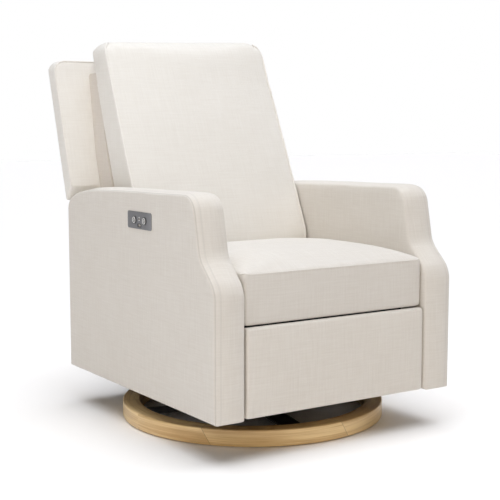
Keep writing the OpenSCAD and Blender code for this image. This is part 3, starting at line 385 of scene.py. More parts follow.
@dataclass(frozen=True)
class Linen(Finish):
    """Cream linen weave, with sewn seams at set distances from the middle plane, their furrows darkened by painted
    shade.
    """

    light: Colour = (0.788, 0.754, 0.703)
    dark: Colour = (0.708, 0.665, 0.608)
    pitch: float = 0.0016
    slub: float = 0.11
    seams: tuple[float, ...] = ()
    stitch_offset: float = 0.013

    def inputs(self, g: Graph) -> Links:
        """Weave, slubs, seams darkened by painted shade, and a soft sheen.

        Args:
            g: The material's graph.

        Returns:
            The shader's inputs.
        """
        cloth = g.add("UVMap", uv_map="cloth").outputs[0]
        tone, height = LINEN_WEAVE.place(g, {"Cloth": cloth, "Pitch": self.pitch, "Slub": self.slub})
        colour = g.mix(tone, self.dark, self.light)
        for seam in self.seams:
            x, y, z = g.axes(g.here())
            away = g.math("ABSOLUTE", g.less(g.math("ABSOLUTE", x), seam))
            links = {"Distance": away, "Run": g.plus(y, z), "Offset": self.stitch_offset}
            shade, stitch, rise = SEWN_EDGE.place(g, links)
            # painted shade: the colour darkens in the seam's furrow and in the dip by its stitches
            colour = g.mix(g.times(shade, 0.45), colour, tuple(0.55 * c for c in self.dark))
            colour = g.mix(g.times(stitch, 0.5), colour, self.light)
            height = g.plus(height, g.times(rise, 3.0))
        return {
            "Base Color": colour,
            "Roughness": g.ramp(tone, 0.0, 1.0, 0.98, 0.88),
            "Sheen Weight": 0.18,
            "Sheen Roughness": 0.55,
            "Specular IOR Level": 0.25,
            "Normal": g.bump(height, 0.0005, 0.55),
        }


@dataclass(frozen=True)
class RingOak(Finish):
    """Clear lacquered oak whose grain follows a ring built of arc segments."""

    light: Colour = (0.98, 0.745, 0.395)
    dark: Colour = (0.60, 0.375, 0.15)
    brown: Colour = (0.72, 0.49, 0.25)
    glue_line: Colour = (0.20, 0.10, 0.04)
    radius: float = 0.344
    segments: int = 6
    turn: float = 0.35
    scarf: float = 1.6

    def inputs(self, g: Graph) -> Links:
        """Grain on the ring's own angle, with a slanted joint and a new tone at each segment.

        Args:
            g: The material's graph.

        Returns:
            The shader's inputs.
        """
        x, y, z = g.axes(g.here())
        angle = g.math("ARCTAN2", y, x)
        reach = g.math("SQRT", g.plus(g.times(x, x), g.times(y, y)))
        share = g.times(g.plus(angle, math.pi + self.turn), self.segments / math.tau)
        share = g.plus(share, g.times(z, self.scarf))
        number = g.math("FLOOR", share)
        tone = g.add("TexWhiteNoise", {"W": number}, noise_dimensions="1D").outputs[0]
        along = g.plus(g.times(angle, self.radius), g.times(tone, 7.3))
        board = g.add("CombineXYZ", {0: along, 1: g.plus(reach, g.times(tone, 3.1)), 2: z}).outputs[0]
        grain, pores = WOOD_GRAIN.place(g, {"Vector": board})
        colour = g.mix(g.times(tone, 0.20), g.mix(grain, self.dark, self.light), self.brown)
        within = g.less(share, number)
        joint = g.ramp(g.math("MINIMUM", within, g.less(1.0, within)), 0.0008, 0.0028, 1.0, 0.0)
        return {
            "Base Color": g.mix(g.times(joint, 0.6), colour, self.glue_line),
            "Roughness": g.ramp(pores, 0.0, 1.0, 0.36, 0.6),
            "Coat Weight": 0.12,
            "Coat Roughness": 0.3,
            "Normal": g.bump(g.times(g.plus(pores, joint), -1.0), 0.0003, 0.5),
        }


@dataclass(frozen=True)
class FrameWood(Finish):
    """Sawn softwood and plywood of the hidden frame, with its grain along X."""

    light: Colour = (0.72, 0.53, 0.32)
    dark: Colour = (0.50, 0.33, 0.17)

    def inputs(self, g: Graph) -> Links:
        """Grain along the boards' length, and a dry surface.

        Args:
            g: The material's graph.

        Returns:
            The shader's inputs.
        """
        grain, _ = WOOD_GRAIN.place(g, {"Vector": g.here()})
        return {
            "Base Color": g.mix(grain, self.dark, self.light),
            "Roughness": g.ramp(grain, 0.0, 1.0, 0.75, 0.6),
            "Normal": g.bump(grain, 0.0004, 0.4),
        }


@dataclass(frozen=True)
class Metal(Finish):
    """Coated or plated metal with fine peel, dust and rubbed marks."""

    colour: Colour = (0.03, 0.03, 0.033)
    marked: Colour = (0.07, 0.07, 0.072)
    metallic: float = 0.0
    rough: float = 0.42
    wear: float = 0.5
    peel: float = 0.00006

    def inputs(self, g: Graph) -> Links:
        """Tone and gloss from the marks, bump from the peel.

        Args:
            g: The material's graph.

        Returns:
            The shader's inputs.
        """
        peel, marks = WORN_COAT.place(g, {"Amount": self.wear})
        return {
            "Base Color": g.mix(marks, self.colour, self.marked),
            "Roughness": g.ramp(marks, 0.0, 1.0, self.rough, self.rough + 0.25),
            "Metallic": self.metallic,
            "Normal": g.bump(peel, self.peel, 0.6),
        }


@dataclass(frozen=True)
class BrushedPlate(Finish):
    """Dark brushed metal whose lines run along Y."""

    colour: Colour = (0.17, 0.17, 0.18)
    pale: Colour = (0.36, 0.36, 0.37)
    rubbed: Point = (-0.062, -0.115)

    def inputs(self, g: Graph) -> Links:
        """Fine lines along the plate, and a paler rubbed end.

        Args:
            g: The material's graph.

        Returns:
            The shader's inputs.
        """
        where = g.here()
        lines = g.noise(g.scaled(where, (60.0, 25.0, 5200.0)))
        end = g.ramp(g.axes(where)[1], *self.rubbed)
        return {
            "Base Color": g.mix(g.plus(g.times(lines, 0.5), g.times(end, 0.45)), self.colour, self.pale),
            "Roughness": g.ramp(lines, 0.2, 0.8, 0.30, 0.48),
            "Metallic": 0.75,
            "Normal": g.bump(lines, 0.00005, 0.5),
        }


@dataclass(frozen=True)
class Moulded(Finish):
    """Moulded plastic or nylon with a fine spark texture."""

    colour: Colour = (0.03, 0.03, 0.03)
    rough: float = 0.5
    grain: float = 1400.0

    def inputs(self, g: Graph) -> Links:
        """Spark texture for the bump, a slight cloud for the tone.

        Args:
            g: The material's graph.

        Returns:
            The shader's inputs.
        """
        where = g.here()
        spark, cloud = g.noise(where, self.grain), g.noise(where, 30.0, 3.0)
        return {
            "Base Color": g.mix(g.times(cloud, 0.6), self.colour, tuple(c * 1.5 + 0.01 for c in self.colour)),
            "Roughness": g.ramp(spark, 0.3, 0.7, self.rough - 0.06, self.rough + 0.08),
            "Normal": g.bump(spark, 0.00008, 0.6),
        }


@dataclass(frozen=True)
class Felt(Finish):
    """Non-woven dust cloth or a woven strap: short fibres over crossed lines."""

    colour: Colour = (0.025, 0.025, 0.026)
    pale: Colour = (0.07, 0.07, 0.072)
    lines: float = 900.0

    def inputs(self, g: Graph) -> Links:
        """Fibres, and lines across the cloth.

        Args:
            g: The material's graph.

        Returns:
            The shader's inputs.
        """
        where = g.here()
        fibres = g.noise(g.scaled(where, (300.0, 90.0, 300.0), 0.6), detail=4.0)
        ribs = g.math("SINE", g.times(g.axes(where)[0], self.lines * 2.0))
        tone = g.plus(g.ramp(fibres, 0.4, 0.65), g.times(ribs, 0.15), clamp=True)
        return {
            "Base Color": g.mix(tone, self.colour, self.pale),
            "Roughness": g.ramp(fibres, 0.3, 0.7, 0.97, 0.85),
            "Normal": g.bump(tone, 0.0004, 0.6),
        }


LINEN_BODY = Linen("linen_body", seams=(0.3715,))
LINEN_PLAIN = Linen("linen_plain")
# a lighter copy of the linen for the back cushion, outer back and flap: painted light on the back
LINEN_BACK_PAINTED_LIGHT = Linen("linen_back_painted_light", (0.885, 0.866, 0.828), (0.817, 0.789, 0.744))
# a darker copy of the linen for the seat: painted shade against the strong top light
LINEN_SEAT_PAINTED_SHADE = Linen("linen_seat_painted_shade", (0.76, 0.729, 0.683), (0.685, 0.645, 0.594))
# a darker copy of the linen: painted shade for the recessed core between cushion and wings
LINEN_CORE_PAINTED_SHADE = Linen("linen_core_painted_shade", (0.755, 0.705, 0.65), (0.675, 0.622, 0.565))
# a paler copy of the linen for the welts: a painted highlight along the sewn edges
WELT_PAINTED_HIGHLIGHT = Linen("linen_welt_painted_highlight", (0.92, 0.90, 0.865), (0.85, 0.815, 0.775), pitch=0.0012, slub=0.10)
OAK = RingOak("ring_oak")
FRAME_WOOD = FrameWood("frame_wood_sawn")
BLACK_STEEL = Metal("black_powder_coat")
BAR_STEEL = Metal("dark_grey_bars", (0.075, 0.075, 0.08), (0.16, 0.16, 0.165), rough=0.38)
ZINC = Metal("zinc_plate", (0.56, 0.57, 0.58), (0.38, 0.38, 0.37), metallic=1.0, rough=0.28, wear=0.7)
SPRING_WIRE = Metal("oiled_wire", (0.05, 0.048, 0.045), (0.15, 0.13, 0.11), metallic=0.6, rough=0.4)
LIGHT_RING = Metal("light_ring", (0.80, 0.80, 0.79), (0.66, 0.66, 0.65), metallic=0.2, rough=0.25, wear=0.3)
NYLON = Moulded("grey_nylon", (0.11, 0.11, 0.11), rough=0.55)
BLACK_PLASTIC = Moulded("black_plastic", (0.022, 0.022, 0.023), rough=0.42)
BUTTON_PLASTIC = Moulded("button_plastic", (0.045, 0.045, 0.048), rough=0.36)
PLATE = BrushedPlate("control_plate_brushed")
DUST_CLOTH = Felt("dust_cloth")
STRAP = Felt("elastic_strap", (0.18, 0.15, 0.12), (0.30, 0.26, 0.21), lines=1500.0)


# ---- shaping ----


@dataclass(frozen=True)
class Corner:
    """A corner of an outline, rounded by radius."""

    a: float
    b: float
    radius: float = 0.0
    segments: int = 6


class Axis(Enum):
    """Axes of the row frame."""

    X = 0
    Y = 1
    Z = 2


class Form:
    """A mesh in the making, shaped by bmesh operators."""

    def __init__(self) -> None:
        """Starts empty."""
        self.bm = bmesh.new()

    @classmethod
    def slab(cls, corners: Sequence[Corner], half: float) -> "Form":
        """A side outline that reaches equally far to both sides of the middle plane.

        Args:
            corners: The outline's corners, as Y and Z.
            half: How far it reaches to each side.

        Returns:
            The form.
        """
        form = cls()
        form.outline(corners, -half, Axis.X)
        form.pull(form.bm.faces[:], Vector((2 * half, 0.0, 0.0)))
        return form

    def outline(self, corners: Sequence[Corner], level: float, axis: Axis) -> list[BMFace]:
        """Adds a flat face, square to an axis, and rounds its corners.

        Args:
            corners: Corners in order, in the two other axes in their own order.
            level: Where the face lies on the axis.
            axis: The axis that the face is square to.

        Returns:
            The face, alone in a list.
        """
        order = [i for i in range(3) if i != axis.value]
        verts = []
        for corner in corners:
            place = Vector((0.0, 0.0, 0.0))
            place[axis.value] = level
            place[order[0]], place[order[1]] = corner.a, corner.b
            verts.append(self.bm.verts.new(place))
        self.bm.faces.new(verts)
        flat = [Vector((corner.a, corner.b)) for corner in corners]
        for i, corner in enumerate(corners):
            if corner.radius > 0:
                turn = (flat[i] - flat[i - 1]).angle(flat[(i + 1) % len(flat)] - flat[i])
                self.round([verts[i]], corner.radius * math.tan(turn / 2), corner.segments, "VERTICES")
        return self.bm.faces[:]

    def round(self, geom: Sequence[BMVert | BMEdge], width: float, segments: int, affect: str = "EDGES") -> None:
        """Rounds edges, or the corners of a flat face.

        Args:
            geom: The edges or corners.
            width: How far from them the rounding starts.
            segments: The number of its steps.
            affect: EDGES or VERTICES.
        """
        bmesh.ops.bevel(
            self.bm,
            geom=geom,
            offset=width,
            offset_type="OFFSET",
            segments=segments,
            profile=0.5,
            affect=affect,
            material=-1,
            clamp_overlap=affect == "EDGES",
        )

    def pull(self, faces: Sequence[BMFace], by: Vector, keep: bool = True) -> None:
        """Extrudes faces and moves their far side.

        Args:
            faces: The faces.
            by: How far and which way.
            keep: Whether the faces stay where they were, too.
        """
        made = bmesh.ops.extrude_face_region(self.bm, geom=faces, use_keep_orig=keep)
        bmesh.ops.translate(self.bm, vec=by, verts=[v for v in made["geom"] if isinstance(v, BMVert)])
        bmesh.ops.recalc_face_normals(self.bm, faces=self.bm.faces)

    def edges(self, test: Callable[[Vector], bool], fold: float = -1.0, across: bool = True) -> list[BMEdge]:
        """Finds edges.

        Args:
            test: What both of their ends have to pass.
            fold: What the angle between their two faces has to be above.
            across: Whether they may run from side to side.

        Returns:
            The edges.
        """
        found = []
        for edge in self.bm.edges:
            one, other = [v.co for v in edge.verts]
            if test(one) and test(other) and (across or abs(one.x - other.x) < NEAR):
                if edge.calc_face_angle(0.0) > fold:
                    found.append(edge)
        return found

    def cut(self, at: Vector, square_to: Vector) -> None:
        """Cuts along a plane and keeps both sides."""
        bm = self.bm
        bmesh.ops.bisect_plane(bm, geom=bm.verts[:] + bm.edges[:] + bm.faces[:], plane_co=at, plane_no=square_to)

    def grid(self, axis: Axis, levels: Iterable[float]) -> None:
        """Cuts the mesh across an axis at each level, so that it can bend there."""
        normal = Vector([1.0 if i == axis.value else 0.0 for i in range(3)])
        for level in levels:
            self.cut(normal * level, normal)

    def piece(self, name: str, smooth: float = math.radians(42.0)) -> Object:
        """Makes the object, with faces out and soft shading up to an angle.

        Args:
            name: The piece's name.
            smooth: The largest angle between two faces that still shade as one.

        Returns:
            The new object, at the origin.
        """
        bmesh.ops.recalc_face_normals(self.bm, faces=self.bm.faces)
        for face in self.bm.faces:
            face.smooth = True
        for edge in self.bm.edges:
            edge.smooth = len(edge.link_faces) != 2 or edge.calc_face_angle(0.0) <= smooth
        mesh = bpy.data.meshes.new(name)
        self.bm.to_mesh(mesh)
        self.bm.free()
        return linked(name, mesh)


def linked(name: str, data: bpy.types.ID) -> Object:
    """A new object in the scene, at the origin."""
    made = bpy.data.objects.new(name, data)
    bpy.context.scene.collection.objects.link(made)
    return made


def lay_cloth(piece: Object) -> None:
    """Gives a piece the cloth map: metres across and along, on the plane that each face is nearest to.

    Args:
        piece: The piece.
    """
    mesh = piece.data
    layer = mesh.uv_layers.new(name="cloth")
    for polygon in mesh.polygons:
        sizes = [abs(part) for part in polygon.normal]
        a, b = [(1, 2), (0, 2), (0, 1)][sizes.index(max(sizes))]
        for loop in polygon.loop_indices:
            place = mesh.vertices[mesh.loops[loop].vertex_index].co
            layer.data[loop].uv = (place[a], place[b])


def wear(piece: Object, finish: Finish, body: str, slot: str) -> None:
    """Gives a piece its finish and its body.

    Args:
        piece: The piece.
        finish: What it is made of.
        body: The body that it moves with.
        slot: Not used.
    """
    piece.data.materials.clear()
    piece.data.materials.append(finish.material())
    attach(piece, body)
    LOG.info("%s: %d faces, on %s", piece.name, len(piece.data.polygons), body)


def cord_tube(name: str, path: Sequence[Vector], radius: float, closed: bool = False) -> Object:
    """A thin round tube along a path.

    Args:
        name: The piece's name.
        path: Points of its centre line.
        radius: Its radius.
        closed: Whether it runs round in a ring.

    Returns:
        The tube as a mesh object at the origin.
    """
    curve = bpy.data.curves.new(name + "_line", "CURVE")
    curve.dimensions = "3D"
    spline = curve.splines.new("POLY")
    spline.points.add(len(path) - 1)
    for point, place in zip(spline.points, path):
        point.co = (*place, 1.0)
    spline.use_cyclic_u = closed
    curve.bevel_depth = radius
    curve.bevel_resolution = 2
    curve.use_fill_caps = not closed
    holder = linked(name + "_line", curve)
    mesh = bpy.data.meshes.new_from_object(holder.evaluated_get(bpy.context.evaluated_depsgraph_get()))
    bpy.data.objects.remove(holder)
    mesh.name = name
    for polygon in mesh.polygons:
        polygon.use_smooth = True
    return linked(name, mesh)


def sew_welt(
    name: str, base: Object, line: Sequence[Vector], radius: float, lift: float, place: tuple[str, str]
) -> None:
    """Sews a welt onto a piece, in the paler welt linen that paints a highlight along it.

    Args:
        name: The welt's name.
        base: The piece.
        line: A line near the piece's surface.
        radius: The welt's radius.
        lift: How far its centre lies above the surface, as a share of the radius.
        place: Its body and its material slot.
    """
    laid = []
    for point in line:
        found, spot, normal, _ = base.closest_point_on_mesh(point)
        laid.append(spot + normal * (radius * lift) if found else point)
    welt = cord_tube(name, laid, radius)
    lay_cloth(welt)
    # the paler linen paints a highlight along the welt
    wear(welt, WELT_PAINTED_HIGHLIGHT, *place)


# ---- stuffing ----

STEPS = 20
CLOTH = {
    "quality": 5,
    "mass": 0.3,
    "tension_stiffness": 12,
    "compression_stiffness": 12,
    "bending_stiffness": 2.0,
    "use_pressure": True,
    "vertex_group_mass": "sewn",
    "pin_stiffness": 1.0,
}


@dataclass
class Stuffing:
    """One piece that is blown up as a sewn cover over its filling.

    The pinned share of a point is 1 where the cover is sewn or fixed, and the cap is how far it may swell.
    """

    piece: Object
    pinned: Callable[[Vector], float]
    cap: Callable[[Vector], float]
    voxel: float
    pressure: float
    smoothed: int = 3
    rest: Sequence[Vector] = ()

    def prepare(self) -> None:
        """Remeshes the piece and gives it a cloth modifier."""
        remesh = self.piece.modifiers.new("even", "REMESH")
        remesh.mode = "VOXEL"
        remesh.voxel_size = self.voxel
        self.apply()
        group = self.piece.vertex_groups.new(name="sewn")
        for vertex in self.piece.data.vertices:
            share = held(self.pinned(vertex.co))
            if share > 0:
                group.add([vertex.index], share, "REPLACE")
        self.rest = [v.co.copy() for v in self.piece.data.vertices]
        cloth = self.piece.modifiers.new("cloth", "CLOTH")
        for name, value in CLOTH.items():
            setattr(cloth.settings, name, value)
        cloth.settings.uniform_pressure_force = self.pressure
        cloth.settings.effector_weights.gravity = 0.0
        cloth.collision_settings.use_collision = False
        cloth.point_cache.frame_start = 1
        cloth.point_cache.frame_end = STEPS

    def apply(self) -> None:
        """Makes what the modifiers give the piece's own mesh."""
        depsgraph = bpy.context.evaluated_depsgraph_get()
        mesh = bpy.data.meshes.new_from_object(self.piece.evaluated_get(depsgraph))
        self.piece.modifiers.clear()
        old, self.piece.data = self.piece.data, mesh
        mesh.name = self.piece.name
        bpy.data.meshes.remove(old)

    def settle(self) -> None:
        """Takes the blown-up shape, caps each point's move, and smooths it."""
        self.apply()
        for vertex, rest in zip(self.piece.data.vertices, self.rest):
            move = vertex.co - rest
            most = self.cap(rest)
            if move.length > most:
                move *= most / move.length
            vertex.co = rest + move
        shape = bmesh.new()
        shape.from_mesh(self.piece.data)
        for _ in range(self.smoothed):
            bmesh.ops.smooth_vert(
                shape, verts=shape.verts, factor=0.5, use_axis_x=True, use_axis_y=True, use_axis_z=True
            )
        for face in shape.faces:
            face.smooth = True
        shape.to_mesh(self.piece.data)
        shape.free()


def blow_up(pieces: Sequence[Stuffing]) -> None:
    """Args:
        pieces: The covers.
    """
    for stuffing in pieces:
        stuffing.prepare()
    for step in range(1, STEPS + 1):
        bpy.context.scene.frame_set(step)
    for stuffing in pieces:
        stuffing.settle()
    bpy.context.scene.frame_set(1)
    LOG.info("blown up: %s", ", ".join(s.piece.name for s in pieces))


# ---- upholstery ----


@dataclass
class Cover:
    """What every upholstered piece has: the node it stands for, its body, its cloth and its filling."""

    node: str
    body: str
    cloth: Linen
    fill: float
    slot: str = "fabric_body"
    soft: bool = False  # whether it is smoothed once more

    def put_on(self, form: Form | None = None) -> None:
        """Dresses the cover and puts it in the node's place.

        Args:
            form: Its shape, where the cover isn't blown up.
        """
        if form:
            self.piece = form.piece(self.node + "_cover")
        lay_cloth(self.piece)
        if self.soft:
            self.piece.modifiers.new("soft", "SUBSURF").levels = 1
            self.piece.modifiers["soft"].render_levels = 1
        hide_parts(self.node)
        wear(self.piece, self.cloth, self.body, self.slot)


@dataclass
class Blown(Cover):
    """A cover that is blown up between its seams."""

    voxel: float = 0.006
    pressure: float = 4.0

    def ready(self, form: Form) -> Stuffing:
        """Makes the piece, to be blown up.

        Args:
            form: Its shape.

        Returns:
            The piece with its seams and caps.
        """
        self.piece = form.piece(self.node + "_cover")
        return Stuffing(self.piece, self.pinned, self.cap, self.voxel, self.pressure)

    def pinned(self, p: Vector) -> float:
        """1 where the cover is fixed, and 0 where it is free."""
        raise NotImplementedError

    def cap(self, p: Vector) -> float:
        """How far the cover may swell at a place."""
        raise NotImplementedError

    def dress(self) -> None:
        """Dresses the blown-up cover."""
        self.put_on()


def crossing(p: Vector, along: Vector, q: Vector, other: Vector) -> Vector:
    """Where two lines of the side view cross, each given by a point and a direction."""
    share = ((q.x - p.x) * other.y - (q.y - p.y) * other.x) / (along.x * other.y - along.y * other.x)
    return p + along * share


@dataclass
class Arm(Cover):
    """An arm: a crowned strip round the front and top between two flat side panels."""

    node: str = "arm_left"
    body: str = "chair"
    cloth: Linen = LINEN_BODY
    fill: float = 0.9
    side: float = -1.0
    inner_round: float = 0.009
    outer_round: float = 0.006
    outer_gap: float = 0.0008
    crown: float = 0.0055
    columns: int = 11
    inner_steps: tuple[Point, ...] = ((0.004, 0.0008), (0.006, 0.0008), (0.008, 0.0004))
    outer_steps: tuple[Point, ...] = ((0.004, 0.0004), (0.006, 0.0003), (0.008, 0.0001))
    shoulder: Point = (0.402, 0.061)
    scoop: Place = (-0.3897, 0.532, 0.061)
    lean: float = math.radians(12.0)
    fall: Place = (0.200, 0.110, 0.530)
    fall_turn: float = math.radians(21.4)
    spike: float = 0.001  # closer points of the rounded outline are merged
    front_radius: float = 0.050
    rear_radius: float = 0.035
    crown_rear: float = 0.40
    lift_from: float = 0.50
    lift_over: float = 0.13
    lift: tuple[Point, ...] = (
        (-0.31, 0.0070),
        (-0.05, 0.0028),
        (0.09, 0.0),
        (0.22, -0.0040),
        (0.30, -0.0015),
        (0.36, 0.0030),
        (0.39, 0.0),
    )

    def corners(self) -> list[Corner]:
        """The arm's side outline: shoulder, scoop, leaning front, top, long fall and rear corner.

        Returns:
            Its corners, as Y and Z.
        """
        eighth = math.radians(45.0)
        low = Vector((PLAN.front, self.shoulder[0] + self.shoulder[1] * math.tan(eighth / 2)))
        reach = Vector((math.cos(self.lean), -math.sin(self.lean))) * self.scoop[2]
        leaning = Vector((math.sin(self.lean), math.cos(self.lean)))
        middle = crossing(low, Vector((1.0, 1.0)), Vector(self.scoop[:2]) + reach, leaning)
        high = crossing(middle, leaning, Vector((0.0, PLAN.arm_top)), Vector((1.0, 0.0)))
        falling = Vector((math.cos(self.fall_turn), -math.sin(self.fall_turn)))
        end = Vector(self.fall[:2]) + self.fall[2] * Vector((math.sin(self.fall_turn), math.cos(self.fall_turn)))
        rear = crossing(end, falling, Vector((PLAN.rear, 0.0)), Vector((0.0, 1.0)))
        return [
            Corner(PLAN.front, PLAN.underside),
            Corner(low.x, low.y, self.shoulder[1], 10),
            Corner(middle.x, middle.y, self.scoop[2], 10),
            Corner(high.x, high.y, self.front_radius, 14),
            Corner(self.fall[0] + self.fall[2] * math.tan(self.fall_turn / 2), PLAN.arm_top, self.fall[2], 16),
            Corner(rear.x, rear.y, self.rear_radius, 12),
            Corner(PLAN.rear, PLAN.underside),
        ]

    def raised(self, y: float) -> float:
        """How far the padding lifts the top of the arm.

        Args:
            y: The place along the arm.

        Returns:
            The rise.
        """
        if y <= self.lift[0][0]:
            return self.lift[0][1]
        for (y0, rise0), (y1, rise1) in zip(self.lift, self.lift[1:]):
            if y <= y1:
                share = (y - y0) / (y1 - y0)
                return rise0 + (rise1 - rise0) * share * share * (3 - 2 * share)
        return self.lift[-1][1]

    def build(self) -> None:
        """Builds the arm: rounded rims, panels set back in steps, a crowned strip and a lifted top."""
        form = Form()
        inner, outer = self.side * PLAN.arm_inner, self.side * (PLAN.half_width - self.outer_gap)
        form.outline(self.corners(), inner, Axis.X)
        bmesh.ops.remove_doubles(form.bm, verts=form.bm.verts, dist=self.spike)
        form.pull(form.bm.faces[:], Vector((outer - inner, 0.0, 0.0)))
        for level, rounding in ((outer, self.outer_round), (inner, self.inner_round)):
            form.round(form.edges(lambda p: abs(p.x - level) < NEAR), rounding, 4)
        for level, steps in ((outer, self.outer_steps), (inner, self.inner_steps)):
            middles = [(f, f.calc_center_median().x) for f in form.bm.faces]
            panel = [f for f, x in middles if abs(x - level) < 1e-5 and abs(f.normal.x) > 0.9]
            for width, rise in steps:
                bmesh.ops.inset_region(
                    form.bm, faces=panel, thickness=width, depth=rise, use_boundary=True, use_even_offset=True
                )
        first, last = inner + self.side * self.inner_round, outer - self.side * self.outer_round
        form.grid(Axis.X, [first + (last - first) * i / self.columns for i in range(1, self.columns)])
        form.grid(Axis.Y, [-0.25 + 0.05 * i for i in range(10)])
        form.grid(Axis.Z, [0.15 + 0.05 * i for i in range(10)])
        form.bm.normal_update()
        for vert in form.bm.verts:
            across = (vert.co.x - first) / (last - first)
            above = vert.co.z > PLAN.underside + 0.001 and vert.co.y < self.crown_rear
            if 0.0 < across < 1.0 and above:
                vert.co += vert.normal * (self.crown * math.sin(math.pi * across) ** 0.7)
        for vert in form.bm.verts:
            vert.co.z += self.raised(vert.co.y) * held((vert.co.z - self.lift_from) / self.lift_over)
        self.put_on(form)


@dataclass
class SeatCushion(Blown):
    """The seat: a crowned top over a front band, blown up between its seams."""

    node: str = "seat_cushion"
    body: str = "chair"
    # the darker linen paints shade onto the seat
    cloth: Linen = LINEN_SEAT_PAINTED_SHADE
    fill: float = 0.75
    slot: str = "fabric_cushion"
    soft: bool = True
    pressure: float = 6.0
    half: float = 0.2815
    front: float = -0.391
    band_foot: float = 0.3312
    band_rear: float = -0.357
    foot: float = 0.391
    crown: float = 0.023
    swell: float = 0.010
    band_swell: float = 0.0035
    band_half: float = 0.272
    front_corner: float = 0.026
    side_round: float = 0.007
    welt: float = 0.0011
    columns: tuple[float, ...] = (0.0, 0.05, 0.10, 0.14, 0.18, 0.21, 0.235, 0.255, 0.268, 0.276)
    rows: tuple[float, ...] = (0.008, 0.018, 0.035, 0.06, 0.10, 0.15, 0.20, 0.26, 0.32, 0.38, 0.43, 0.46, 0.48)

    def build(self) -> Stuffing:
        """Builds the cover.

        Returns:
            The cover, to be blown up.
        """
        top = PLAN.seat_seam
        form = Form.slab(
            [
                Corner(self.front, self.band_foot, 0.008, 4),
                Corner(self.front, top, 0.008, 5),
                Corner(self.rear(top), top, 0.010, 3),
                Corner(self.rear(self.foot), self.foot, 0.010, 3),
                Corner(self.band_rear, self.foot, 0.006, 3),
                Corner(self.band_rear, self.band_foot, 0.006, 3),
            ],
            self.half,
        )
        sides = beside(self.half)
        upright = form.edges(lambda p: sides(p) and p.y < self.front + 1e-4, across=False)
        form.round(upright, self.front_corner, 8)
        form.round(form.edges(sides, SHARP), self.side_round, 3)
        form.grid(Axis.X, [s * x for x in self.columns for s in (-1, 1)])
        form.grid(Axis.Y, [self.front + y for y in self.rows])
        for vert in form.bm.verts:
            if vert.co.z > top - 0.002:
                u = vert.co.x / self.half
                w = 2 * (vert.co.y - self.front) / (self.rear(top) - self.front) - 1
                along = abs(w) ** 8 if w < 0 else abs(w) ** 3
                lift = self.crown * max(0.0, 1 - abs(u) ** 9) * max(0.0, 1 - along)
                vert.co.z += lift
                vert.co.y += lift * math.tan(PLAN.face_lean) * max(0.0, w) ** 2
        return self.ready(form)

    def rear(self, z: float) -> float:
        """How far back the seat reaches at a height: to the back cushion's face."""
        return PLAN.face_y(z) - 0.002

    def pinned(self, p: Vector) -> float:
        """Fixed underneath, behind, at the sides and along the seams of the top.

        Args:
            p: A place on the cover.

        Returns:
            The pinned share.
        """
        top = PLAN.seat_seam
        if p.z < top - 0.012:
            band = abs(p.x) < self.band_half and self.band_foot + 0.012 < p.z < top - 0.016
            return 0.0 if band and p.y < self.front + 0.004 else 1.0
        front_seam = p.y < self.front + 0.010 and p.z < top - 0.002
        side_seam = abs(p.x) > self.half - 0.006 and p.z < top
        return 1.0 if front_seam or side_seam or p.y > self.rear(top) - 0.006 else 0.0

    def cap(self, p: Vector) -> float:
        """The top swells most in its middle, and the band a little.

        Args:
            p: A place on the cover.

        Returns:
            How far it may swell.
        """
        if p.z < PLAN.seat_seam - 0.004:
            return self.band_swell
        u = min(1.0, abs(p.x) / self.half)
        w = min(1.0, abs(2 * (p.y - self.front) / (self.rear(PLAN.seat_seam) - self.front) - 1))
        return self.swell * (1 - u**8) * (1 - w**6) ** 0.8 + 0.0005

    def dress(self) -> None:
        """Adds the finish and the welt of the front seam."""
        self.put_on()
        sew_welt("seat_front_welt", self.piece, self.seam_line(), self.welt, 0.4, ("chair", "fabric_cushion"))

    def seam_line(self) -> list[Vector]:
        """The front seam's line: along the top of the band and round its two corners.

        Returns:
            Its points.
        """
        flat, z, corner = self.half - self.front_corner, PLAN.seat_seam - 0.004, self.front_corner
        turn = [math.radians(84.0 - 7.0 * i) for i in range(12)]
        left = [Vector((-flat - corner * math.sin(a), self.front + corner * (1 - math.cos(a)), z)) for a in turn]
        middle = [Vector((-flat + 2 * flat * i / 50, self.front, z)) for i in range(51)]
        return left + middle + mirrored(left)


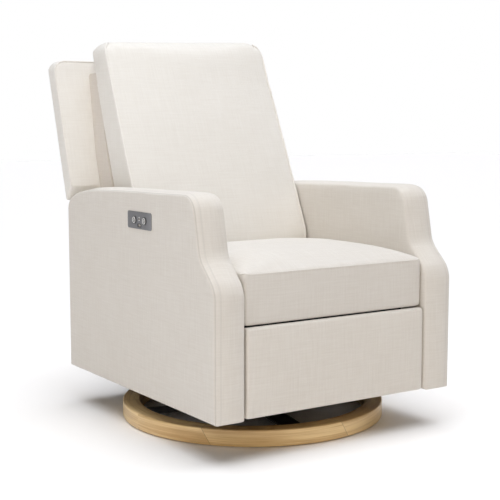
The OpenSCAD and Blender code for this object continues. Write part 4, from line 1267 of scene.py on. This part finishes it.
@dataclass
class BackCushion(Blown):
    """The back cushion: a leaning crowned face, a welt up each side, a rounded top, and the flap below."""

    node: str = "back_cushion"
    body: str = "back"
    # the lighter linen paints light onto the back cushion
    cloth: Linen = LINEN_BACK_PAINTED_LIGHT
    fill: float = 0.7
    slot: str = "fabric_cushion"
    soft: bool = True
    pressure: float = 5.0
    foot: float = 0.432
    shelf: float = 0.463
    half_foot: float = 0.254
    top: float = 1.058
    half_low: float = 0.2790
    half_top: float = 0.274
    taper_from: float = 0.74
    arm_top: float = 0.65
    corner: float = 0.042
    side_round: float = 0.013
    swell: float = 0.018
    side_swell: float = 0.0015
    lift: Point = (0.0065, 0.0080)
    lift_from: float = 0.94
    lift_over: float = 0.10
    welt: float = 0.0029
    welt_inset: float = 0.0030
    welt_turn: float = math.radians(62.0)
    welt_back: float = 0.016
    roll_under: Point = (0.515, 0.012)
    flap: Point = (0.400, 0.463)
    flap_half: float = 0.2825
    flap_thick: float = 0.006

    def half(self, z: float) -> float:
        """Half the cushion's width.

        Args:
            z: The height.

        Returns:
            The half width there.
        """
        if z < self.shelf - 0.0005:
            return self.half_foot
        share = max(0.0, (z - self.taper_from) / (self.top - self.taper_from))
        return self.half_low + (self.half_top - self.half_low) * share

    def build(self) -> Stuffing:
        """Builds the cover.

        Returns:
            The cover, to be blown up.
        """
        form = Form.slab(
            [
                Corner(PLAN.face_y(self.foot), self.foot),
                Corner(PLAN.face_y(self.top), self.top, 0.040, 8),
                Corner(PLAN.cushion_rear_y(self.top) - 0.002, self.top, 0.026, 6),
                Corner(PLAN.cushion_rear_y(self.foot) - 0.001, self.foot),
            ],
            self.half_low,
        )
        form.grid(Axis.Z, [self.shelf - 0.001, self.shelf, 0.472, 0.482, 0.492, 0.504])
        form.grid(Axis.Z, [0.52 + 0.06 * i for i in range(8)] + [1.01, 1.022, 1.034, 1.046])
        form.grid(Axis.X, [i * 0.05 for i in range(-4, 5)])
        form.grid(Axis.X, [s * x for x in (0.238, 0.247, 0.256, 0.265) for s in (-1, 1)])
        for vert in form.bm.verts:
            vert.co.x *= self.half(vert.co.z) / self.half_low
        form.round(form.edges(lambda p: beside(self.half(p.z))(p), SHARP), self.side_round, 4)
        for vert in form.bm.verts:
            share = held((self.roll_under[0] - vert.co.z) / (self.roll_under[0] - self.shelf))
            if vert.co.y < PLAN.face_y(vert.co.z) + 0.03:
                vert.co.y += self.roll_under[1] * share * share
        for vert in form.bm.verts:
            start = self.half(vert.co.z) - self.corner
            u = (abs(vert.co.x) - start) / self.corner
            w = (vert.co.z - self.top + self.corner) / self.corner
            if u > 0 and w > 0:
                share = max(u, w) / math.hypot(u, w)
                vert.co.x = math.copysign(start + self.corner * u * share, vert.co.x)
                vert.co.z = self.top + self.corner * (w * share - 1)
        for vert in form.bm.verts:
            share = held((vert.co.z - self.lift_from) / self.lift_over)
            vert.co.z += (self.lift[0] + self.lift[1] * vert.co.x / 0.25) * share * share * (3 - 2 * share)
        return self.ready(form)

    def depth(self, p: Vector) -> float:
        """How far a place lies behind the face."""
        return (p.y - PLAN.face_y(p.z)) * math.cos(PLAN.face_lean)

    def pinned(self, p: Vector) -> float:
        """Fixed behind, below, between the arms and along the welts.

        Args:
            p: A place on the cover.

        Returns:
            The pinned share.
        """
        side = self.half(p.z) - abs(p.x)
        below = p.z < self.shelf + 0.030 or (p.z < self.arm_top and side < 0.006)
        behind = p.y > PLAN.cushion_rear_y(p.z) - 0.006 and p.z < self.top - 0.03
        return 1.0 if below or behind or (side < 0.010 and self.depth(p) < 0.008) else 0.0

    def cap(self, p: Vector) -> float:
        """The face swells most, the sides a little.

        Args:
            p: A place on the cover.

        Returns:
            How far it may swell.
        """
        if self.depth(p) >= 0.012:
            return self.side_swell
        u = min(1.0, abs(p.x) / self.half(p.z))
        return self.swell * (1 - u**4) + 0.001

    def dress(self) -> None:
        """Adds the finish, the flap and the two welts."""
        self.put_on()
        self.tuck_flap()
        for side, name in ((-1.0, "left"), (1.0, "right")):
            line, place = self.welt_line(side), ("back", "fabric_cushion")
            sew_welt("back_cushion_welt_" + name, self.piece, line, self.welt, 0.7, place)

    def tuck_flap(self) -> None:
        """The cloth flap between seat and back."""
        low, high = self.flap
        front_low, front_high = PLAN.face_y(low) + 0.0012, PLAN.face_y(high) + 0.0060
        form = Form.slab(
            [
                Corner(front_low, low, 0.0025, 3),
                Corner(front_high, high),
                Corner(front_high + self.flap_thick, high),
                Corner(front_low + self.flap_thick, low, 0.0025, 3),
            ],
            self.flap_half,
        )
        form.grid(Axis.Z, [low + 0.005 * i for i in range(1, 13)])
        form.grid(Axis.X, [0.05 * i for i in range(-5, 6)])
        flap = form.piece("back_tuck_flap")
        lay_cloth(flap)
        flap.data.materials.append(LINEN_BACK_PAINTED_LIGHT.material())
        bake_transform(flap)
        LOG.info("%s: between chair and back", flap.name)

    def welt_line(self, side: float) -> list[Vector]:
        """The welt's line up one side of the face, ending over the rounded top corner.

        Args:
            side: -1 for the left and 1 for the right.

        Returns:
            Its points.
        """
        inset, foot, shoulder = self.welt_inset, self.shelf + 0.004, self.top - self.corner
        line: list[Vector] = []
        for i in range(60):
            z = foot + (shoulder - foot) * i / 59
            line.append(Vector((side * (self.half(z) - inset), PLAN.face_y(z) + inset, z)))
        for i in range(1, 13):
            share = i / 12
            a = self.welt_turn * share
            z = shoulder + self.corner * math.sin(a)
            x = self.half(shoulder) - inset - self.corner * (1 - math.cos(a))
            line.append(Vector((side * x, PLAN.face_y(z) + inset + self.welt_back * share * share, z)))
        return line


@dataclass
class OuterBack(Blown):
    """The shell behind the cushion, with its two wings."""

    node: str = "outer_back"
    body: str = "back"
    # the lighter linen paints light onto the outer back
    cloth: Linen = LINEN_BACK_PAINTED_LIGHT
    fill: float = 0.85
    foot: float = 0.323
    neck: float = 0.470
    top: float = 1.003
    thick: float = 0.052
    corner: float = 0.036
    wing_foot: Point = (0.389, 0.637)
    wing_heel: Point = (0.430, 0.587)
    wing_half: float = 0.374
    wing_level: float = 0.70
    fixed_below: Point = (0.66, 0.50)
    welt: float = 0.0018

    def build(self) -> Stuffing:
        """Builds the shell: a board between the arms, with wings pulled out of its sides above them.

        Returns:
            The cover, to be blown up.
        """
        middle = PLAN.seat_half - 0.001
        front = PLAN.wing_front_y(self.top)
        form = Form.slab(
            [
                Corner(0.345, self.foot),
                Corner(0.392, self.foot),
                Corner(0.392, self.neck - 0.005, 0.02, 3),
                Corner(front + self.thick, self.top),
                Corner(front, self.top),
                Corner(0.3455, 0.4915, 0.02, 3),
            ],
            middle,
        )
        low, high = Vector((0.0, *self.wing_foot)), Vector((0.0, *self.wing_heel))
        along = (high - low).normalized()
        form.cut(low, Vector((0.0, along.z, -along.y)))
        form.bm.normal_update()
        for side in (-1.0, 1.0):
            middles = [(f, f.calc_center_median()) for f in form.bm.faces]
            flank = [f for f, c in middles if abs(c.x - side * middle) < NEAR and c.z > self.wing_level]
            form.pull(flank, Vector((side * (self.wing_half - middle), 0.0, 0.0)), keep=False)
        tips = form.edges(lambda p: beside(self.wing_half)(p) and p.z > self.top - 0.001, across=False)
        form.round(tips, self.corner, 8)
        folded = form.edges(lambda p: True, math.radians(50.0))
        form.round([e for e in folded if max(v.co.z for v in e.verts) > 0.5], 0.009, 3)
        return self.ready(form)

    def pinned(self, p: Vector) -> float:
        """Fixed round the rims, in the middle behind the cushion, and below the wings.

        Args:
            p: A place on the cover.

        Returns:
            The pinned share.
        """
        lean = math.cos(PLAN.wing_lean)
        depth = (p.y - PLAN.wing_front_y(p.z)) * lean
        back = depth > self.thick * lean - 0.004
        wing = depth < 0.004 and abs(p.x) > PLAN.seat_half + 0.01
        edge = min(PLAN.half_width - abs(p.x), self.top - p.z)
        front_level, rear_level = self.fixed_below
        if p.z < front_level and (not back or p.z < rear_level):
            return 1.0
        return 0.0 if (wing or back) and edge > 0.012 else 1.0

    def cap(self, p: Vector) -> float:
        """The wings and the rear swell a little."""
        return 0.006 if abs(p.x) > PLAN.seat_half else 0.007

    def welt_line(self) -> list[Vector]:
        """The welt's line: up the outer front edge of a wing, over the top and down the other wing.

        Returns:
            Its points.
        """
        outer, foot, shoulder = PLAN.half_width - 0.0015, self.wing_foot[1] + 0.004, self.top - self.corner
        half = []
        for i in range(50):
            z = foot + (shoulder - foot) * i / 49
            half.append(Vector((-outer, PLAN.wing_front_y(z), z)))
        for i in range(1, 11):
            a = math.pi / 2 * i / 10
            z = shoulder + (self.corner - 0.0005) * math.sin(a)
            half.append(Vector((-outer + self.corner * (1 - math.cos(a)), PLAN.wing_front_y(z), z)))
        half += [Vector((-0.33 + 0.03 * i, PLAN.wing_front_y(self.top), self.top - 0.0005)) for i in range(12)]
        return half + mirrored(half[:-1])

    def dress(self) -> None:
        """Adds the welt of the wings, the finish and the core."""
        sew_welt("outer_back_welt", self.piece, self.welt_line(), self.welt, 0.5, ("back", "fabric_body"))
        self.put_on()
        BackCore().build()


@dataclass
class BackCore(Cover):
    """The upholstered block that joins the cushion to the shell, in a darker copy of the linen that paints the shade of
    its recess.
    """

    node: str = "back_core"
    body: str = "back"
    # the darker linen paints the shade in the recess
    cloth: Linen = LINEN_CORE_PAINTED_SHADE
    fill: float = 0.9
    foot: float = 0.463
    top: float = 0.966
    half: float = 0.281
    half_foot: float = 0.234
    neck: float = 0.6015
    taper_from: float = 0.72
    taper: float = 0.06

    def build(self) -> None:
        """Builds the block, narrower between the arms and towards its top."""
        form = Form.slab(
            [
                Corner(PLAN.cushion_rear_y(self.foot) + 0.0015, self.foot),
                Corner(PLAN.cushion_rear_y(self.top) - 0.004, self.top, 0.010, 3),
                Corner(PLAN.wing_front_y(self.top) + 0.001, self.top, 0.010, 3),
                Corner(PLAN.wing_front_y(self.foot) - 0.0035, self.foot),
            ],
            self.half,
        )
        form.grid(Axis.Z, [self.neck - 0.0015, self.neck + 0.0015, self.taper_from, 0.80, 0.88])
        for vert in form.bm.verts:
            if vert.co.z < self.neck:
                vert.co.x *= self.half_foot / self.half
            elif vert.co.z > self.taper_from + 0.01:
                vert.co.x *= 1 - self.taper * (vert.co.z - self.taper_from) / (self.top - self.taper_from)
        self.put_on(form)


@dataclass
class Footrest(Blown):
    """The padded front board that folds out."""

    node: str = "footrest_pad"
    body: str = "footrest"
    cloth: Linen = LINEN_PLAIN
    fill: float = 0.9
    voxel: float = 0.0045
    pressure: float = 3.0
    half: float = 0.281
    front: float = -0.403
    rear: float = -0.3785
    foot: float = 0.105
    top: float = 0.3298
    swell: float = 0.0045

    def build(self) -> Stuffing:
        """Builds the pad.

        Returns:
            The pad, to be blown up.
        """
        form = Form.slab(
            [
                Corner(self.front, self.foot, 0.008, 3),
                Corner(self.front, self.top, 0.010, 6),
                Corner(self.rear, self.top, 0.006, 3),
                Corner(self.rear, self.foot, 0.004, 2),
            ],
            self.half,
        )
        form.round(form.edges(beside(self.half)), 0.008, 4)
        return self.ready(form)

    def pinned(self, p: Vector) -> float:
        """Free only on the front face, inside its edges."""
        inside = abs(p.x) < self.half - 0.012 and self.foot + 0.010 < p.z < self.top - 0.014
        return 0.0 if inside and p.y < self.front + 0.002 else 1.0

    def cap(self, p: Vector) -> float:
        """A flat crown."""
        return self.swell


@dataclass
class RearPanel(Cover):
    """The covered board across the back, below the shell."""

    node: str = "rear_panel"
    body: str = "chair"
    cloth: Linen = LINEN_PLAIN
    fill: float = 0.95
    half: float = 0.284
    front: float = 0.397
    rear: float = 0.415
    foot: float = 0.104
    top: float = 0.335

    def build(self) -> None:
        """Builds the panel with eased edges."""
        form = Form.slab(
            [
                Corner(self.front, self.foot),
                Corner(self.rear, self.foot, 0.004, 3),
                Corner(self.rear, self.top, 0.008, 4),
                Corner(self.front, self.top, 0.004, 3),
            ],
            self.half,
        )
        form.round(form.edges(beside(self.half)), 0.004, 3)
        self.put_on(form)


# ---- base and trim ----


@dataclass
class OakRing:
    """The oak ring of the base, with eased edges."""

    outer: float = 0.368
    inner: float = 0.320
    foot: float = 0.003
    top: float = 0.046
    foot_ease: float = 0.002
    ease: float = 0.0035
    steps: int = 192

    def build(self) -> None:
        """Spins the ring's section round the swivel axis."""
        form = Form()
        section = form.outline(
            [
                Corner(self.inner, self.foot, self.foot_ease, 2),
                Corner(self.outer, self.foot, self.foot_ease, 2),
                Corner(self.outer, self.top, self.ease, 5),
                Corner(self.inner, self.top, self.ease, 5),
            ],
            0.0,
            Axis.Y,
        )[0]
        rim = section.verts[:] + section.edges[:]
        bmesh.ops.delete(form.bm, geom=[section], context="FACES_ONLY")
        bmesh.ops.spin(
            form.bm,
            geom=rim,
            cent=Vector((0.0, 0.0, 0.0)),
            axis=Vector((0.0, 0.0, 1.0)),
            angle=math.tau,
            steps=self.steps,
            use_merge=True,
            use_normal_flip=False,
            use_duplicate=False,
        )
        bmesh.ops.remove_doubles(form.bm, verts=form.bm.verts, dist=NEAR)
        ring = form.piece("oak_ring")
        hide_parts("base_ring")
        wear(ring, OAK, "base", "ring_wood")


@dataclass
class ControlTrim:
    """A light ring and a raised bar on each of the two buttons, and the rim of the indicator."""

    out: float = -0.3783
    y: float = -0.037
    z: float = 0.568
    pitch: float = 0.055
    ring: Point = (0.0072, 0.0011)
    rim: Point = (0.0043, 0.0007)
    rim_shift: Point = (0.0012, 0.004)
    mark_size: Point = (0.0011, 0.0038)

    def build(self) -> None:
        """Builds the trim of each button, and the rim between them."""
        for shift, name in ((-0.5, "recline"), (0.5, "return")):
            y, body = self.y + shift * self.pitch, name + "_button"
            self.torus(f"button_{name}_ring", Vector((self.out + 0.0001, y, self.z)), self.ring, body)
            self.mark(f"button_{name}_mark", Vector((self.out, y, self.z)), body)
        middle = Vector((self.out + self.rim_shift[0], self.y, self.z + self.rim_shift[1]))
        self.torus("indicator_rim", middle, self.rim, "chair")

    def torus(self, name: str, centre: Vector, radii: Point, body: str) -> None:
        """Makes a round-section ring that faces sideways.

        Args:
            name: Its name.
            centre: Its centre.
            radii: Its own radius, and its section's.
            body: The body that it moves with.
        """
        turns = [math.tau * i / 40 for i in range(40)]
        line = [centre + Vector((0.0, radii[0] * math.cos(a), radii[0] * math.sin(a))) for a in turns]
        wear(cord_tube(name, line, radii[1], closed=True), LIGHT_RING, body, "indicator")

    def mark(self, name: str, centre: Vector, body: str) -> None:
        """Makes a short raised bar in the middle of a button.

        Args:
            name: Its name.
            centre: The middle of the button's face.
            body: The body that it moves with.
        """
        wide, tall = self.mark_size
        form = Form()
        form.outline(
            [
                Corner(centre.y + a * wide, centre.z + b * tall, 0.0010, 4)
                for a, b in ((-1, -1), (1, -1), (1, 1), (-1, 1))
            ],
            centre.x + 0.0004,
            Axis.X,
        )
        form.pull(form.bm.faces[:], Vector((-0.0008, 0.0, 0.0)))
        wear(form.piece(name), LIGHT_RING, body, "indicator")


# ---- the rigid nodes ----

NODE_FINISH: dict[Finish, str] = {
    NYLON: "base_glides actuator_slider",
    BLACK_STEEL: "base_cross swivel_lower_race swivel_upper_race swivel_frame glide_hanger_left glide_hanger_right "
    "glide_rail_left glide_rail_right mechanism_plate_left mechanism_plate_right rear_cross_tube "
    "back_bracket_left back_bracket_right drive_tube footrest_brackets",
    BAR_STEEL: "glide_front_links glide_rear_links actuator_track recline_rod_left recline_rod_right "
    "scissor_drive_bars scissor_guide_bars scissor_lift_bars scissor_outer_bars footrest_control_links",
    ZINC: "base_screws swivel_balls swivel_king_pin glide_upper_pins glide_lower_pins mechanism_bolts",
    FRAME_WOOD: "front_rail rear_rail arm_frame_left arm_frame_right seat_frame back_frame footrest_board",
    DUST_CLOTH: "dust_cover",
    STRAP: "back_webbing",
    SPRING_WIRE: "seat_springs",
    BLACK_PLASTIC: "actuator_motor indicator_ring usb_socket power_inlet",
    BUTTON_PLASTIC: "button_recline button_return",
    PLATE: "control_plate",
}


def dress_nodes() -> None:
    """Gives each rigid node that stays its finish."""
    count = 0
    for finish, names in NODE_FINISH.items():
        for name in names.split():
            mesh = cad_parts[name].data
            mesh.materials.clear()
            mesh.materials.append(finish.material())
            count += 1
    LOG.info("nodes: %d finishes placed", count)


# ---- studio ----


@dataclass(frozen=True)
class Lamp:
    """One studio light: a sun where it has a spread in degrees, and else a square soft box."""

    name: str
    power: float
    colour: Colour
    aim: Place
    place: Place = (0.0, 0.0, 3.0)
    spread: float = 0.0
    size: float = 1.1

    def build(self) -> None:
        """Hangs the light."""
        data = bpy.data.lights.new(self.name, "SUN" if self.spread else "AREA")
        if self.spread:
            data.angle = math.radians(self.spread)
        else:
            data.shape = "SQUARE"
            data.size = self.size
        data.energy = self.power
        data.color = self.colour
        lamp = linked(self.name, data)
        lamp.location = self.place
        lamp.rotation_euler = Vector(self.aim).to_track_quat("-Z", "Y").to_euler()


@dataclass
class Studio:
    """White floor, white surroundings, soft light from above, and the camera."""

    place: Place = (-1.7173, -2.5911, 0.8195)
    yaw: float = math.radians(33.41)
    pitch: float = math.radians(6.53)
    lens: float = 79.96
    sensor: float = 36.0
    ambient: float = 0.03
    ambient_tone: Colour = (1.0, 0.985, 0.96)
    floor_tone: Colour = (0.988, 0.973, 0.957)
    floor_size: float = 20.0
    lamps: tuple[Lamp, ...] = (
        Lamp("overhead", 2.82, (0.925, 0.952, 1.0), (0.0, 0.0, -1.0), spread=64.0),
        Lamp("right", 0.56, (0.96, 0.96, 1.0), (-0.7, 0.0, -0.7), spread=50.0),
        Lamp("front", 0.56, (1.0, 0.79, 0.53), (0.512, 0.788, -0.342), spread=40.0),
        Lamp("side_box", 9.0, (0.96, 0.97, 1.0), (2.0, 1.2, -0.8), (-2.3, -1.25, 1.2)),
        Lamp("seat_box", 2.6, (0.88, 0.95, 1.0), (0.65, 0.25, -1.1), (-0.35, -0.35, 1.7), size=0.6),
    )

    def build(self) -> None:
        """Sets everything up."""
        self.camera()
        self.surroundings()
        self.floor()
        for lamp in self.lamps:
            lamp.build()

    def camera(self) -> None:
        """The camera, at the height and turn of a standing viewer a few steps away."""
        data = bpy.data.cameras.new("camera")
        data.lens = self.lens
        data.sensor_width = self.sensor
        camera = linked("camera", data)
        camera.location = self.place
        camera.rotation_euler = (math.pi / 2 - self.pitch, 0.0, -self.yaw)
        bpy.context.scene.camera = camera

    def surroundings(self) -> None:
        """White to look at, and a softer white as light."""
        world = bpy.data.worlds.new("studio")
        world.use_nodes = True
        bpy.context.scene.world = world
        g = Graph(world.node_tree)
        background = world.node_tree.nodes["Background"]
        g.feed(background, {"Color": (*self.ambient_tone, 1.0), "Strength": self.ambient})
        white = g.add("Background", {"Color": (1.0, 1.0, 1.0, 1.0), "Strength": 1.0})
        seen = g.add("LightPath").outputs["Is Camera Ray"]
        both = g.add("MixShader", {0: seen, 1: background.outputs[0], 2: white.outputs[0]})
        g.feed(world.node_tree.nodes["World Output"], {0: both.outputs[0]})
        bpy.context.scene.view_settings.view_transform = "Standard"

    def floor(self) -> None:
        """A plain pale floor."""
        shape = bmesh.new()
        bmesh.ops.create_grid(shape, x_segments=1, y_segments=1, size=self.floor_size)
        mesh = bpy.data.meshes.new("floor")
        shape.to_mesh(mesh)
        shape.free()
        floor = linked("floor", mesh)
        material = bpy.data.materials.new("floor_white")
        material.use_nodes = True
        look = {"Base Color": (*self.floor_tone, 1.0), "Roughness": 0.9, "Specular IOR Level": 0.1}
        Graph(material.node_tree).feed(material.node_tree.nodes["Principled BSDF"], look)
        floor.data.materials.append(material)


def main() -> None:
    """Builds every sub-assembly in order and sets the studio."""
    logging.basicConfig(level=logging.INFO, format="%(message)s")
    dress_nodes()
    for part in (Arm(), Arm("arm_right", side=1.0), RearPanel(), OakRing(), ControlTrim()):
        part.build()
    stuffed = [SeatCushion(), BackCushion(), OuterBack(), Footrest()]
    blow_up([part.build() for part in stuffed])
    for part in stuffed:
        part.dress()
    Studio().build()


if __name__ == "__main__":
    main()
